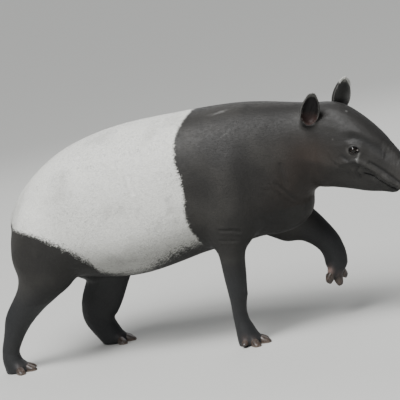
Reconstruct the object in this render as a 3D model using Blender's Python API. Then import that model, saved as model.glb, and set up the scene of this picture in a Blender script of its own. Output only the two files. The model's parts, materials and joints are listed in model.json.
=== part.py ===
"""Malayan tapir, life size, in mid walk: one closed solid for each part of the body.

The animal faces +X with its right side on -Y, and three of its feet stand on Z = 0.
Lengths are in metres. The flesh is modelled whole from lofted forms, fused, and then
parted by thin cuts, so that neighbours meet face to face.
"""
import math

import bmesh
import bpy
from mathutils import Matrix, Vector

GAP = 0.0003                 # clear gap left between two parts that touch
FLESH_VOXEL = 0.0085         # grain at which the flesh forms are fused
FLESH_FACES = 6200           # faces kept for all of the flesh before it is parted

# The head's own axes: where they start and how the head is held
HEAD_ORIGIN = (0.56, -0.02, 0.80)
HEAD_YAW = math.radians(-18)     # turned to the animal's right
HEAD_PITCH = math.radians(20)    # nose down

class Axes:
    """Forward, left and up from an origin, turned about Z, then Y, then X."""

    def __init__(self, origin=(0, 0, 0), yaw=0.0, pitch=0.0, roll=0.0):
        self.origin = Vector(origin)
        turn = Matrix.Rotation(yaw, 3, "Z") @ Matrix.Rotation(pitch, 3, "Y")
        self.turn = turn @ Matrix.Rotation(roll, 3, "X")

    def at(self, forward, left, up):
        return self.origin + self.turn @ Vector((forward, left, up))

    def matrix(self, forward=0.0, left=0.0, up=0.0):
        return Matrix.Translation(self.at(forward, left, up)) @ self.turn.to_4x4()


BODY = Axes()
HEAD = Axes(HEAD_ORIGIN, HEAD_YAW, HEAD_PITCH)

EYE_RADIUS = 0.019
EYE_PLACE = (0.208, 0.076, 0.043)     # forward, to the side, up, on the head's axes
EYE_OUTWARD = math.radians(66)        # how far each eye looks to its side
LID_THICKNESS = 0.0048
LID_TILT = math.radians(-14)
# The opening between the lids, as shares of the eye's radius
LID_HALF_WIDTH = 0.84
LID_RISE = 0.56
LID_DROP = 0.50
LID_FULLNESS = 0.8           # below 1 the lids' curves are fuller than a sine's
LID_SPREAD = ((0.45, 1.0), (2.40, 1.6))    # distance out along the gaze, and how wide it is there
NOSTRIL_PLACE = (0.486, 0.0165, -0.082)
NOSTRIL_SIZES = (0.022, 0.0075, 0.013)
NOSTRIL_PITCH = math.radians(16)
# Each ear: centre forward, left, up on the head's axes, then the way that its cup faces
# and how far it leans forward, in degrees
EARS = {
    "ear_right": ((0.003, -0.107, 0.166), -58, 12),
    "ear_left": ((0.031, 0.096, 0.196), -36, 4),
}
EAR_SIZES = (0.028, 0.041, 0.075)      # half depth, half width, half height
EAR_HOLLOW = (1.15, 0.83, 0.86)        # the cup's size as shares of the ear's
EAR_CUP_FORWARD = 0.42                 # how far forward the cup sits, as a share of half depth
EAR_TAPER = 0.22                       # how much the tip narrows

# Trunk and neck, tail end to throat: place along X, top, underside, half width
TRUNK = (
    (-0.862, 0.660, 0.590, 0.045),
    (-0.842, 0.698, 0.535, 0.092),
    (-0.795, 0.757, 0.468, 0.152),
    (-0.710, 0.835, 0.410, 0.218),
    (-0.590, 0.912, 0.372, 0.248),
    (-0.450, 0.962, 0.346, 0.266),
    (-0.300, 0.992, 0.338, 0.272),
    (-0.150, 1.004, 0.362, 0.267),
    (0.000, 1.010, 0.398, 0.250),
    (0.120, 1.014, 0.415, 0.230),
    (0.240, 1.013, 0.430, 0.208),
    (0.340, 1.003, 0.465, 0.184),
    (0.430, 0.988, 0.530, 0.158),
    (0.510, 0.974, 0.596, 0.138),
    (0.590, 0.962, 0.636, 0.116),
)

# Skull and nose on the head's axes: place forward, top, underside, half width
SKULL = (
    (-0.140, 0.100, -0.150, 0.085),
    (-0.050, 0.160, -0.178, 0.108),
    (0.020, 0.184, -0.168, 0.110),
    (0.090, 0.190, -0.148, 0.103),
    (0.160, 0.173, -0.120, 0.097),
    (0.230, 0.146, -0.094, 0.086),
    (0.300, 0.109, -0.070, 0.069),
    (0.370, 0.066, -0.076, 0.055),
    (0.430, 0.022, -0.094, 0.045),
    (0.460, -0.004, -0.108, 0.042),
    (0.479, -0.024, -0.117, 0.039),
    (0.489, -0.040, -0.116, 0.034),
)

# Lower jaw, on the same axes
JAW = (
    (-0.020, 0.010, -0.188, 0.098),
    (0.060, 0.000, -0.181, 0.094),
    (0.120, -0.010, -0.164, 0.085),
    (0.200, -0.020, -0.149, 0.069),
    (0.270, -0.035, -0.139, 0.055),
    (0.330, -0.052, -0.122, 0.043),
    (0.375, -0.072, -0.115, 0.033),
    (0.400, -0.090, -0.108, 0.018),
)

# Legs, from inside the trunk to the sole: X, Y, Z, half depth fore and aft, half width
FORE_RIGHT = (
    (0.180, -0.120, 0.680, 0.130, 0.075),
    (0.160, -0.142, 0.560, 0.100, 0.075),
    (0.152, -0.148, 0.470, 0.073, 0.064),
    (0.142, -0.142, 0.400, 0.061, 0.056),
    (0.136, -0.134, 0.320, 0.053, 0.049),
    (0.132, -0.128, 0.262, 0.047, 0.045),
    (0.130, -0.124, 0.222, 0.044, 0.044),
    (0.122, -0.119, 0.170, 0.035, 0.037),
    (0.120, -0.116, 0.115, 0.035, 0.038),
    (0.128, -0.115, 0.070, 0.042, 0.046),
    (0.136, -0.115, 0.030, 0.050, 0.052),
    (0.136, -0.115, -0.012, 0.048, 0.050),
)
FORE_LEFT = (
    (0.220, 0.115, 0.660, 0.135, 0.070),
    (0.270, 0.135, 0.560, 0.125, 0.070),
    (0.325, 0.145, 0.468, 0.117, 0.065),
    (0.388, 0.150, 0.436, 0.090, 0.059),
    (0.444, 0.152, 0.390, 0.067, 0.052),
    (0.484, 0.152, 0.340, 0.057, 0.048),
    (0.501, 0.152, 0.295, 0.053, 0.046),
    (0.505, 0.151, 0.265, 0.053, 0.046),
    (0.502, 0.149, 0.243, 0.053, 0.048),
    (0.497, 0.147, 0.226, 0.046, 0.044),
)
HIND_RIGHT = (
    (-0.640, -0.140, 0.600, 0.170, 0.085),
    (-0.690, -0.158, 0.500, 0.150, 0.096),
    (-0.712, -0.166, 0.410, 0.118, 0.088),
    (-0.770, -0.166, 0.335, 0.080, 0.068),
    (-0.828, -0.160, 0.275, 0.066, 0.050),
    (-0.872, -0.156, 0.222, 0.060, 0.045),
    (-0.905, -0.152, 0.160, 0.047, 0.039),
    (-0.933, -0.150, 0.100, 0.041, 0.040),
    (-0.936, -0.150, 0.055, 0.045, 0.046),
    (-0.926, -0.150, 0.020, 0.050, 0.050),
    (-0.926, -0.150, -0.012, 0.048, 0.048),
)
HIND_LEFT = (
    (-0.560, 0.140, 0.600, 0.170, 0.085),
    (-0.520, 0.160, 0.500, 0.155, 0.096),
    (-0.500, 0.168, 0.410, 0.120, 0.088),
    (-0.532, 0.170, 0.320, 0.098, 0.068),
    (-0.572, 0.168, 0.240, 0.096, 0.054),
    (-0.604, 0.166, 0.180, 0.092, 0.048),
    (-0.620, 0.165, 0.130, 0.079, 0.044),
    (-0.605, 0.165, 0.080, 0.064, 0.045),
    (-0.580, 0.165, 0.035, 0.058, 0.050),
    (-0.568, 0.165, -0.012, 0.050, 0.050),
)

LEGS = {
    "fore right": FORE_RIGHT,
    "fore left": FORE_LEFT,
    "hind right": HIND_RIGHT,
    "hind left": HIND_LEFT,
}
TAIL = (
    (-0.842, 0.000, 0.640, 0.020, 0.024),
    (-0.862, 0.000, 0.612, 0.018, 0.021),
    (-0.874, 0.000, 0.576, 0.015, 0.017),
    (-0.878, 0.000, 0.548, 0.011, 0.012),
    (-0.877, 0.000, 0.534, 0.004, 0.005),
)

# Muscles and fat that round the forms out: centre, half sizes, turn about Y and Z in degrees
MUSCLES = (
    ((0.170, -0.150, 0.640), (0.150, 0.085, 0.250), 8, 0),
    ((0.235, 0.148, 0.620), (0.150, 0.080, 0.240), -12, 0),
    ((-0.670, -0.140, 0.540), (0.165, 0.122, 0.230), 12, 0),
    ((-0.600, 0.140, 0.530), (0.190, 0.122, 0.230), -8, 0),
    ((0.314, 0.000, 0.560), (0.190, 0.130, 0.130), 0, 0),
)

# On the head's axes, made for both sides: centre, half sizes
FACE_MUSCLES = (
    ((0.050, 0.060, -0.050), (0.110, 0.052, 0.110)),
    ((0.200, 0.052, 0.045), (0.080, 0.042, 0.058)),
    ((0.335, 0.033, -0.050), (0.080, 0.028, 0.028)),
    ((0.345, 0.018, -0.092), (0.045, 0.024, 0.022)),
)

# Folds of the face on the head's axes: the line that each follows in the side view, its half
# width and its height, which is below zero for a hollow
FACE_FOLDS = (
    (((0.190, 0.089), (0.240, 0.086), (0.310, 0.070), (0.380, 0.044)), 0.018, -0.006),
    (((0.150, 0.040), (0.175, 0.066), (0.210, 0.072)), 0.012, 0.002),
    (((0.168, -0.026), (0.211, -0.005), (0.242, 0.004), (0.306, -0.020), (0.360, -0.043),
      (0.419, -0.065)), 0.012, 0.007),
    (((0.235, -0.026), (0.265, -0.040), (0.300, -0.050)), 0.009, -0.006),
)

COLOURS = {
    "black": ((0.030, 0.030, 0.031, 1.0), 0.55),
    "white": ((0.560, 0.560, 0.530, 1.0), 0.70),
    "hoof": ((0.075, 0.058, 0.048, 1.0), 0.50),
    "eye": ((0.012, 0.009, 0.008, 1.0), 0.08),
}


def clear_scene():
    for item in list(bpy.data.objects):
        bpy.data.objects.remove(item, do_unlink=True)


def add_object(name, mesh_maker):
    """Make an object from a bmesh that mesh_maker fills."""
    mesh = bpy.data.meshes.new(name)
    shape = bmesh.new()
    mesh_maker(shape)
    bmesh.ops.recalc_face_normals(shape, faces=shape.faces)
    shape.to_mesh(mesh)
    shape.free()
    item = bpy.data.objects.new(name, mesh)
    bpy.context.scene.collection.objects.link(item)
    return item


def settle(item):
    """Replace an object's mesh with what its modifiers make of it."""
    graph = bpy.context.evaluated_depsgraph_get()
    mesh = bpy.data.meshes.new_from_object(item.evaluated_get(graph))
    item.modifiers.clear()
    item.data = mesh


def combine(target, others, operation, solver="MANIFOLD"):
    """One Boolean of target with a collection of closed objects, which are then removed."""
    group = bpy.data.collections.new("operands")
    for other in others:
        group.objects.link(other)
    modifier = target.modifiers.new("combine", "BOOLEAN")
    modifier.operation = operation
    modifier.operand_type = "COLLECTION"
    modifier.collection = group
    modifier.solver = solver
    settle(target)
    for other in others:
        bpy.data.objects.remove(other, do_unlink=True)
    bpy.data.collections.remove(group)


def smooth_rows(rows, steps):
    """Rows on a Catmull-Rom curve through the given rows, with steps rows to each span."""
    ends = [tuple(2 * a - b for a, b in zip(rows[0], rows[1]))]
    ends += list(rows) + [tuple(2 * a - b for a, b in zip(rows[-1], rows[-2]))]
    out = []
    for before, start, stop, after in zip(ends, ends[1:], ends[2:], ends[3:]):
        for step in range(steps):
            t = step / steps
            out.append(tuple(
                b + 0.5 * t * (c - a + t * (2 * a - 5 * b + 4 * c - d + t * (3 * (b - c) + d - a)))
                for a, b, c, d in zip(before, start, stop, after)))
    out.append(tuple(rows[-1]))
    return out


def rounded(value, power):
    """Cosine or sine of a superellipse, squarer than a circle for a power above 2."""
    return math.copysign(abs(value) ** (2 / power), value)


def loft(shape, rings):
    """Skin a row of rings of equal counts and close both ends."""
    loops = [[shape.verts.new(point) for point in ring] for ring in rings]
    count = len(loops[0])
    for one, two in zip(loops, loops[1:]):
        for i in range(count):
            j = (i + 1) % count
            shape.faces.new((one[i], one[j], two[j], two[i]))
    shape.faces.new(loops[0][::-1])
    shape.faces.new(loops[-1])


def add_egg_loft(name, axes, rows, widest=0.45, power=2.25, sides=32, steps=3):
    """A form whose rings stand across the forward axis, with an egg-shaped section."""
    def fill(shape):
        rings = []
        for forward, top, under, half in smooth_rows(rows, steps):
            middle = under + widest * (top - under)
            ring = []
            for i in range(sides):
                angle = 2 * math.pi * i / sides
                lift = rounded(math.sin(angle), power)
                reach = top - middle if lift > 0 else middle - under
                side = half * rounded(math.cos(angle), power)
                ring.append(axes.at(forward, side, middle + reach * lift))
            rings.append(ring)
        loft(shape, rings)
    return add_object(name, fill)


def add_leg(name, rows, sides=24, steps=3):
    """A leg whose rings stand across its own slant in the side view."""
    def fill(shape):
        rows_out = smooth_rows(rows, steps)
        rings = []
        for index, (x, y, z, depth, width) in enumerate(rows_out):
            before = rows_out[max(index - 1, 0)]
            after = rows_out[min(index + 1, len(rows_out) - 1)]
            slant = Vector((before[0] - after[0], 0, before[2] - after[2])).normalized()
            fore = Vector((0, 1, 0)).cross(slant)
            ring = []
            for i in range(sides):
                angle = 2 * math.pi * i / sides
                along = fore * (depth * math.cos(angle))
                ring.append(Vector((x, y, z)) + along + Vector((0, width * math.sin(angle), 0)))
            rings.append(ring)
        loft(shape, rings)
    return add_object(name, fill)


def add_ball(name, matrix, half_sizes, rings=16, sides=24):
    """An ellipsoid with its half sizes along the matrix's own axes."""
    def fill(shape):
        placed = matrix @ Matrix.Diagonal((*half_sizes, 1))
        bmesh.ops.create_uvsphere(shape, u_segments=sides, v_segments=rings, radius=1,
                                  matrix=placed)
    return add_object(name, fill)


def add_plate(name, centre, normal, radius, sides=20):
    """A round plate as thick as the gap, which parts what it passes through."""
    def fill(shape):
        turn = Vector(normal).to_track_quat("Z", "Y").to_matrix().to_4x4()
        placed = Matrix.Translation(Vector(centre)) @ turn
        bmesh.ops.create_cone(shape, cap_ends=True, segments=sides, radius1=radius,
                              radius2=radius, depth=GAP, matrix=placed)
    return add_object(name, fill)


# Where the flesh is parted: centre, normal and radius of each thin plate

def head_plate(forward, up, normal, radius):
    """A plate across the head, given on the head's own axes."""
    return HEAD.at(forward, 0, up), HEAD.turn @ Vector(normal), radius


SCRAP_VOLUME = 2e-6
CUTS = (
    head_plate(-0.012, -0.010, (0.976, 0, 0.216), 0.270),
    ((0.372, 0, 0.790), (0.917, 0, 0.399), 0.310),
    ((-0.030, 0, 0.700), (1, 0, 0.05), 0.360),
    ((-0.675, 0, 0.475), (0.569, 0, 0.822), 0.370),
    ((0.142, -0.142, 0.398), (0, 0, 1), 0.110),
    ((0.130, -0.124, 0.215), (0, 0, 1), 0.080),
    ((0.126, -0.115, 0.088), (0, 0, 1), 0.080),
    ((0.415, 0.151, 0.412), (0.85, 0, -0.53), 0.095),
    ((0.500, 0.152, 0.312), (0.30, 0, -0.95), 0.080),
    ((0.504, 0.152, 0.262), (0, 0, 1), 0.070),
    ((-0.745, -0.166, 0.362), (0.61, 0, 0.79), 0.140),
    ((-0.886, -0.154, 0.195), (0.45, 0, 0.90), 0.090),
    ((-0.935, -0.150, 0.088), (0, 0, 1), 0.080),
    ((-0.545, 0.170, 0.298), (0.25, 0, 0.97), 0.158),
    ((-0.608, 0.166, 0.165), (0.20, 0, 0.98), 0.120),
    ((-0.606, 0.165, 0.086), (-0.20, 0, 0.98), 0.095),
)
REAR_CUT = ((-0.70, 0, 0.45), (0, 1, 0), 0.40)
SNOUT_CUT = head_plate(0.340, 0.0, (1, 0, 0), 0.20)
SEEDS = {
    "face": HEAD.at(0.15, 0, 0),
    "neck": (0.43, 0, 0.77),
    "shoulders": (0.15, 0, 0.70),
    "barrel": (-0.40, 0, 0.68),
    "hindquarters": (-0.68, 0, 0.46),
    "foreleg_right_forearm": (0.135, -0.13, 0.31),
    "foreleg_right_cannon": (0.122, -0.118, 0.15),
    "foreleg_right_foot": (0.136, -0.115, 0.04),
    "foreleg_left_forearm": (0.46, 0.15, 0.37),
    "foreleg_left_cannon": (0.507, 0.152, 0.285),
    "foreleg_left_foot": (0.50, 0.152, 0.21),
    "hindleg_right_shank": (-0.81, -0.16, 0.29),
    "hindleg_right_cannon": (-0.91, -0.15, 0.14),
    "hindleg_right_foot": (-0.93, -0.15, 0.04),
    "hindleg_left_shank": (-0.57, 0.17, 0.25),
    "hindleg_left_cannon": (-0.605, 0.165, 0.12),
    "hindleg_left_foot": (-0.575, 0.165, 0.04),
}
REAR_SEEDS = {
    "hindleg_right_thigh": (-0.70, -0.15, 0.46),
    "hindleg_left_thigh": (-0.65, 0.15, 0.46),
}
MOUTH_SEEDS = {
    "upper_face": HEAD.at(0.15, 0, 0.03),
    "lower_jaw": HEAD.at(0.25, 0, -0.11),
}
FACE_SEEDS = {
    "head": HEAD.at(0.10, 0, 0.03),
    "snout": HEAD.at(0.41, 0, -0.02),
}

# Lines in the head's side view: under the whole lower jaw, and where the lips part
JAW_LINE = (
    (0.425, -0.101), (0.395, -0.090), (0.350, -0.066), (0.305, -0.050), (0.262, -0.048),
    (0.200, -0.078), (0.120, -0.130), (0.030, -0.225),
)
MOUTH_LINE = JAW_LINE[:5]
LIP_GAP = 0.0035             # how wide the lips part at the skin
LIP_DEPTH = 0.032            # side distance where that wider groove starts
CHEEK_REACH = 0.2            # side distance that both cuts reach, past the cheeks

# Feet

HOOF_LENGTH = 0.044
HOOF_HALF_WIDTH = 0.0185
HOOF_HEIGHT = 0.034
HOOF_SIDES = 9               # faces round the top of a hoof
HOOF_SQUARENESS = 2.6
HOOF_SOLE = 0.96             # width of the sole as a share of the hoof's
# Along a hoof: shares of its length, height and half width
HOOF_ROWS = ((0.0, 1.0, 1.06), (0.35, 0.84, 1.12), (0.72, 0.56, 0.98), (0.93, 0.34, 0.72),
             (1.0, 0.20, 0.44))
HOOF_GROWS = (-1, -1, 0, 1, 1)       # the way along that each row moves where a hoof is grown
TOE_REACH = 0.054            # from the foot's centre to the back of a hoof
# Along a toe: place, top, underside, half width
TOE_ROWS = (
    (-0.010, 0.072, 0.000, 0.0210),
    (0.024, 0.060, -0.004, 0.0230),
    (TOE_REACH, 0.044, -0.004, 0.0225),
    (TOE_REACH + 0.012, 0.030, 0.000, 0.0150),
)
# Angle from the foot's heading in degrees, size, height above the sole
TOES_HIND = ((0, 1.0, 0.0), (45, 0.93, 0.0), (-45, 0.93, 0.0))
TOES_FORE = TOES_HIND + ((90, 0.74, 0.010),)
TOES_RAISED = ((0, 1.0, 0.0), (39, 0.93, 0.0), (-39, 0.93, 0.0), (80, 0.74, 0.010))

FEET = {
    # name: centre, heading in degrees, pitch of the foot, toes, outer side
    "forefoot_right": ((0.136, -0.115, 0.0), -4, 0, TOES_FORE, -1),
    "forefoot_left": ((0.474, 0.152, 0.234), -32, 66, TOES_RAISED, 1),
    "hindfoot_right": ((-0.926, -0.150, 0.0), -6, 0, TOES_HIND, -1),
    "hindfoot_left": ((-0.568, 0.165, 0.0), 4, 0, TOES_HIND, 1),
}


def toe_axes(foot, toe):
    """Axes of one toe: forward along the toe on the sole, up away from the sole."""
    centre, heading, pitch, _, outer = FEET[foot]
    angle, _, lift = toe
    sole = Axes(centre, math.radians(heading), math.radians(pitch))
    spread = Matrix.Rotation(math.radians(angle * outer), 3, "Z")
    axes = Axes()
    axes.turn = sole.turn @ spread
    axes.origin = sole.at(0, 0, lift)
    return axes


def add_toe(name, foot, toe):
    """The fleshy toe that runs from the foot's middle into the back of its hoof."""
    rows = [[size * toe[1] for size in row] for row in TOE_ROWS]
    return add_egg_loft(name, toe_axes(foot, toe), rows, sides=16)


def add_hoof(name, foot, toe, grow=0.0):
    """A hoof: a rounded wedge with a flat sole, grown all round to cut its seat."""
    axes = toe_axes(foot, toe)
    size = toe[1]

    def fill(shape):
        rings = []
        for index, (along, rise, spread) in enumerate(HOOF_ROWS):
            way = HOOF_GROWS[index]
            forward = (TOE_REACH + along * HOOF_LENGTH) * size + way * grow
            top = rise * HOOF_HEIGHT * size + grow
            half = spread * HOOF_HALF_WIDTH * size + grow
            ring = [axes.at(forward, half * HOOF_SOLE, -grow)]
            for i in range(1, HOOF_SIDES):
                angle = math.pi * i / HOOF_SIDES
                side = half * rounded(math.cos(angle), HOOF_SQUARENESS)
                ring.append(axes.at(forward, side, top * rounded(math.sin(angle), HOOF_SQUARENESS)))
            ring.append(axes.at(forward, -half * HOOF_SOLE, -grow))
            rings.append(ring)
        loft(shape, rings)
    return add_object(name, fill)


# Flesh

def add_flesh():
    """All soft forms fused into one skin, evened out and thinned."""
    forms = [
        add_egg_loft("trunk", BODY, TRUNK, widest=0.42),
        add_egg_loft("skull", HEAD, SKULL, widest=0.42),
        add_egg_loft("jaw", HEAD, JAW, widest=0.55),
    ]
    forms += [add_leg(name, rows) for name, rows in LEGS.items()]
    for centre, sizes, pitch, yaw in MUSCLES:
        place = Axes(centre, math.radians(yaw), math.radians(pitch)).matrix()
        forms.append(add_ball("muscle", place, sizes))
    for (forward, left, up), sizes in FACE_MUSCLES:
        for side in (-1, 1):
            forms.append(add_ball("face", HEAD.matrix(forward, side * left, up), sizes))
    for foot, (_, _, _, toes, _) in FEET.items():
        forms += [add_toe("toe", foot, toe) for toe in toes]

    flesh = join("flesh", forms)
    fuse = flesh.modifiers.new("fuse", "REMESH")
    fuse.mode = "VOXEL"
    fuse.voxel_size = FLESH_VOXEL
    settle(flesh)
    add_weights(flesh, "broad", lambda point: 1.0 - fineness(point))
    add_weights(flesh, "thin", lambda point: 1.0 - 0.65 * fineness(point))
    for name, iterations in (("", 4), ("broad", 34)):
        even = flesh.modifiers.new("even", "SMOOTH")
        even.factor = 0.5
        even.iterations = iterations
        even.vertex_group = name
    settle(flesh)
    fold_face(flesh)
    reduce = flesh.modifiers.new("reduce", "DECIMATE")
    reduce.ratio = FLESH_FACES / (2 * len(flesh.data.polygons))
    reduce.vertex_group = "thin"
    reduce.vertex_group_factor = 0.0002
    settle(flesh)
    flesh.vertex_groups.clear()
    return flesh


def add_weights(item, name, weight):
    group = item.vertex_groups.new(name=name)
    for vertex in item.data.vertices:
        group.add([vertex.index], min(max(weight(vertex.co), 0.0), 1.0), "REPLACE")


def ramp(value, low, high):
    """0 below low, 1 above high, smooth between."""
    t = min(max((value - low) / (high - low), 0.0), 1.0)
    return t * t * (3 - 2 * t)


def fineness(point):
    """How fine the forms are at a point: 1 on the face and the lower legs, 0 on the trunk."""
    face = ramp((point - HEAD.at(0.0, 0, 0)) @ HEAD.turn.col[0], -0.06, 0.06)
    if point.z < 0.55:
        face = 0.0
    leg = 1.0 - ramp(point.z, 0.28, 0.40)
    if point.x > 0.40 and point.z < 0.55:
        leg = 1.0 - ramp(point.z, 0.34, 0.50)
    return max(face, leg)


def fold_face(flesh):
    """Raise the folds of the face and press in its hollows, on both sides."""
    heights = []
    for vertex in flesh.data.vertices:
        forward, left, up = HEAD.turn.transposed() @ (vertex.co - HEAD.origin)
        aside = ramp(abs(left), 0.020, 0.040)
        height = 0.0
        if forward > 0 and abs(up) < 0.2 and aside > 0:
            for line, width, lift in FACE_FOLDS:
                height += lift * math.exp(-(line_distance(forward, up, line) / width) ** 2)
        heights.append(height * aside)
    for vertex, height in zip(flesh.data.vertices, heights):
        if height:
            vertex.co += vertex.normal * height


def line_distance(across, up, line):
    """Distance in the side view from a point to a line through several points."""
    point = Vector((across, up))
    nearest = math.inf
    for start, stop in zip(line, line[1:]):
        start = Vector(start)
        run = Vector(stop) - start
        share = min(max((point - start).dot(run) / run.length_squared, 0.0), 1.0)
        nearest = min(nearest, (point - start - run * share).length)
    return nearest


def join(name, items):
    """Gather closed objects into one mesh without fusing them."""
    shape = bmesh.new()
    for item in items:
        shape.from_mesh(item.data)
        bpy.data.objects.remove(item, do_unlink=True)
    mesh = bpy.data.meshes.new(name)
    shape.to_mesh(mesh)
    shape.free()
    whole = bpy.data.objects.new(name, mesh)
    bpy.context.scene.collection.objects.link(whole)
    return whole


def level_soles(flesh):
    """Cut the planted feet flat at the floor."""
    shape = bmesh.new()
    shape.from_mesh(flesh.data)
    everything = shape.verts[:] + shape.edges[:] + shape.faces[:]
    cut = bmesh.ops.bisect_plane(shape, geom=everything, plane_co=(0, 0, 0),
                                 plane_no=(0, 0, 1), clear_inner=True)
    rim = [edge for edge in cut["geom_cut"] if isinstance(edge, bmesh.types.BMEdge)]
    bmesh.ops.holes_fill(shape, edges=rim, sides=0)
    bmesh.ops.recalc_face_normals(shape, faces=shape.faces)
    shape.to_mesh(flesh.data)
    shape.free()


# Head details

def eye_axes(side):
    """Axes of an eye: forward looks out of the socket."""
    forward, left, up = EYE_PLACE
    turned = Axes()
    turned.turn = HEAD.turn @ Matrix.Rotation(side * EYE_OUTWARD, 3, "Z")
    turned.origin = HEAD.at(forward, side * left, up)
    return turned


def add_eyeball(name, side, grow=0.0):
    axes = eye_axes(side)
    turn = axes.matrix() @ Matrix.Rotation(math.radians(90), 4, "Y")
    return add_ball(name, turn, (EYE_RADIUS + grow,) * 3, rings=10, sides=16)


def add_lid_opening(name, side, steps=10):
    """The almond between the lids, as a prism that runs out from the eyeball."""
    axes = eye_axes(side)
    tilt = Matrix.Rotation(side * LID_TILT, 2)
    outline = []
    for turn, lift in ((1, LID_RISE), (-1, -LID_DROP)):
        for i in range(steps):
            angle = math.pi * i / steps
            across = turn * LID_HALF_WIDTH * math.cos(angle)
            outline.append(tilt @ Vector((across, lift * math.sin(angle) ** LID_FULLNESS)) * EYE_RADIUS)

    def fill(shape):
        rings = []
        for out, spread in LID_SPREAD:
            rings.append([axes.at(out * EYE_RADIUS, *(point * spread)) for point in outline])
        loft(shape, rings)
    return add_object(name, fill)


def add_ear_form(name, ear, sizes, forward=0.0, up=0.0):
    """An egg with its narrow end up, on an ear's own axes."""
    place, facing, lean = EARS[ear]
    turn = HEAD.turn @ Matrix.Rotation(math.radians(facing), 3, "Z")
    axes = Axes()
    axes.turn = turn @ Matrix.Rotation(math.radians(lean), 3, "Y")
    axes.origin = HEAD.at(*place)

    def fill(shape):
        bmesh.ops.create_uvsphere(shape, u_segments=18, v_segments=13, radius=1)
        for vertex in shape.verts:
            x, y, z = vertex.co
            taper = 1.0 - EAR_TAPER * z
            depth, half, height = sizes
            vertex.co = axes.at(forward + x * depth * taper, y * half * taper, up + z * height)
    return add_object(name, fill)


def add_ear(name):
    """An upright oval cup, thick at its root."""
    shell = add_ear_form(name, name, EAR_SIZES)
    hollow = [size * share for size, share in zip(EAR_SIZES, EAR_HOLLOW)]
    forward = EAR_SIZES[0] * EAR_CUP_FORWARD
    cup = add_ear_form("cup", name, hollow, forward=forward, up=0.004)
    combine(shell, [cup], "DIFFERENCE")
    return shell


def add_ear_seat(name):
    return add_ear_form("seat", name, [size + GAP for size in EAR_SIZES])


def add_nostril(name, side):
    """The pit of a nostril in the blunt end of the snout."""
    place = HEAD.matrix(*NOSTRIL_PLACE[:1], side * NOSTRIL_PLACE[1], NOSTRIL_PLACE[2])
    return add_ball(name, place @ Matrix.Rotation(NOSTRIL_PITCH, 4, "Y"), NOSTRIL_SIZES,
                    rings=10, sides=14)


def add_strip(name, line, inner, outer, thickness):
    """A thin plate along a line in the head's side view, between two distances aside."""
    def fill(shape):
        rings = []
        for forward, up in line:
            high = up + thickness / 2
            low = up - thickness / 2
            corners = ((inner, high), (outer, high), (outer, low), (inner, low))
            rings.append([HEAD.at(forward, left, level) for left, level in corners])
        loft(shape, rings)
    return add_object(name, fill)


def add_tail(name, grow=0.0):
    """A short stub that hangs against the rump."""
    rows = [(x, y, z, depth + grow, half + grow) for x, y, z, depth, half in TAIL]
    return add_leg(name, rows, sides=10, steps=2)


# Parting the flesh into its nodes

def take_islands(item):
    """Split an object into its loose closed pieces: (volume centre, volume, object)."""
    shape = bmesh.new()
    shape.from_mesh(item.data)
    bmesh.ops.triangulate(shape, faces=shape.faces)
    unseen = set(shape.faces)
    pieces = []
    while unseen:
        stack = [unseen.pop()]
        island = []
        while stack:
            face = stack.pop()
            island.append(face)
            for edge in face.edges:
                for other in edge.link_faces:
                    if other in unseen:
                        unseen.remove(other)
                        stack.append(other)
        pieces.append(copy_faces(island))
    shape.free()
    bpy.data.objects.remove(item, do_unlink=True)
    return pieces


def copy_faces(faces):
    mesh_out = bmesh.new()
    copies = {}
    volume = 0.0
    centre = Vector()
    for face in faces:
        corners = []
        for vertex in face.verts:
            if vertex not in copies:
                copies[vertex] = mesh_out.verts.new(vertex.co)
            corners.append(copies[vertex])
        twin = mesh_out.faces.get(corners)
        if twin:
            mesh_out.faces.remove(twin)
            continue
        mesh_out.faces.new(corners)
        a, b, c = (vertex.co for vertex in face.verts)
        wedge = a.dot(b.cross(c)) / 6
        volume += wedge
        centre += wedge * (a + b + c) / 4
    mesh = bpy.data.meshes.new("piece")
    mesh_out.to_mesh(mesh)
    mesh_out.free()
    item = bpy.data.objects.new("piece", mesh)
    bpy.context.scene.collection.objects.link(item)
    return centre / volume if volume else centre, volume, item


def part_off(item, plates, seeds):
    """Cut an object by thin plates and name each piece after the nearest seed point."""
    combine(item, plates, "DIFFERENCE")
    pieces = sorted(take_islands(item), key=lambda piece: -piece[1])
    named = {}
    for centre, volume, piece in pieces:
        if volume < SCRAP_VOLUME or len(named) == len(seeds):
            bpy.data.objects.remove(piece, do_unlink=True)
            continue
        free = [name for name in seeds if name not in named]
        name = min(free, key=lambda name: (Vector(seeds[name]) - centre).length)
        named[name] = piece
        piece.name = name
    return named


def paint(item, look):
    colour, roughness = COLOURS[look]
    material = bpy.data.materials.new(item.name)
    material.use_nodes = True
    shader = material.node_tree.nodes["Principled BSDF"]
    shader.inputs["Base Color"].default_value = colour
    shader.inputs["Roughness"].default_value = roughness
    item.data.materials.clear()
    item.data.materials.append(material)
    item.data.shade_smooth()
    item.data.set_sharp_from_angle(angle=math.radians(40))


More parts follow.
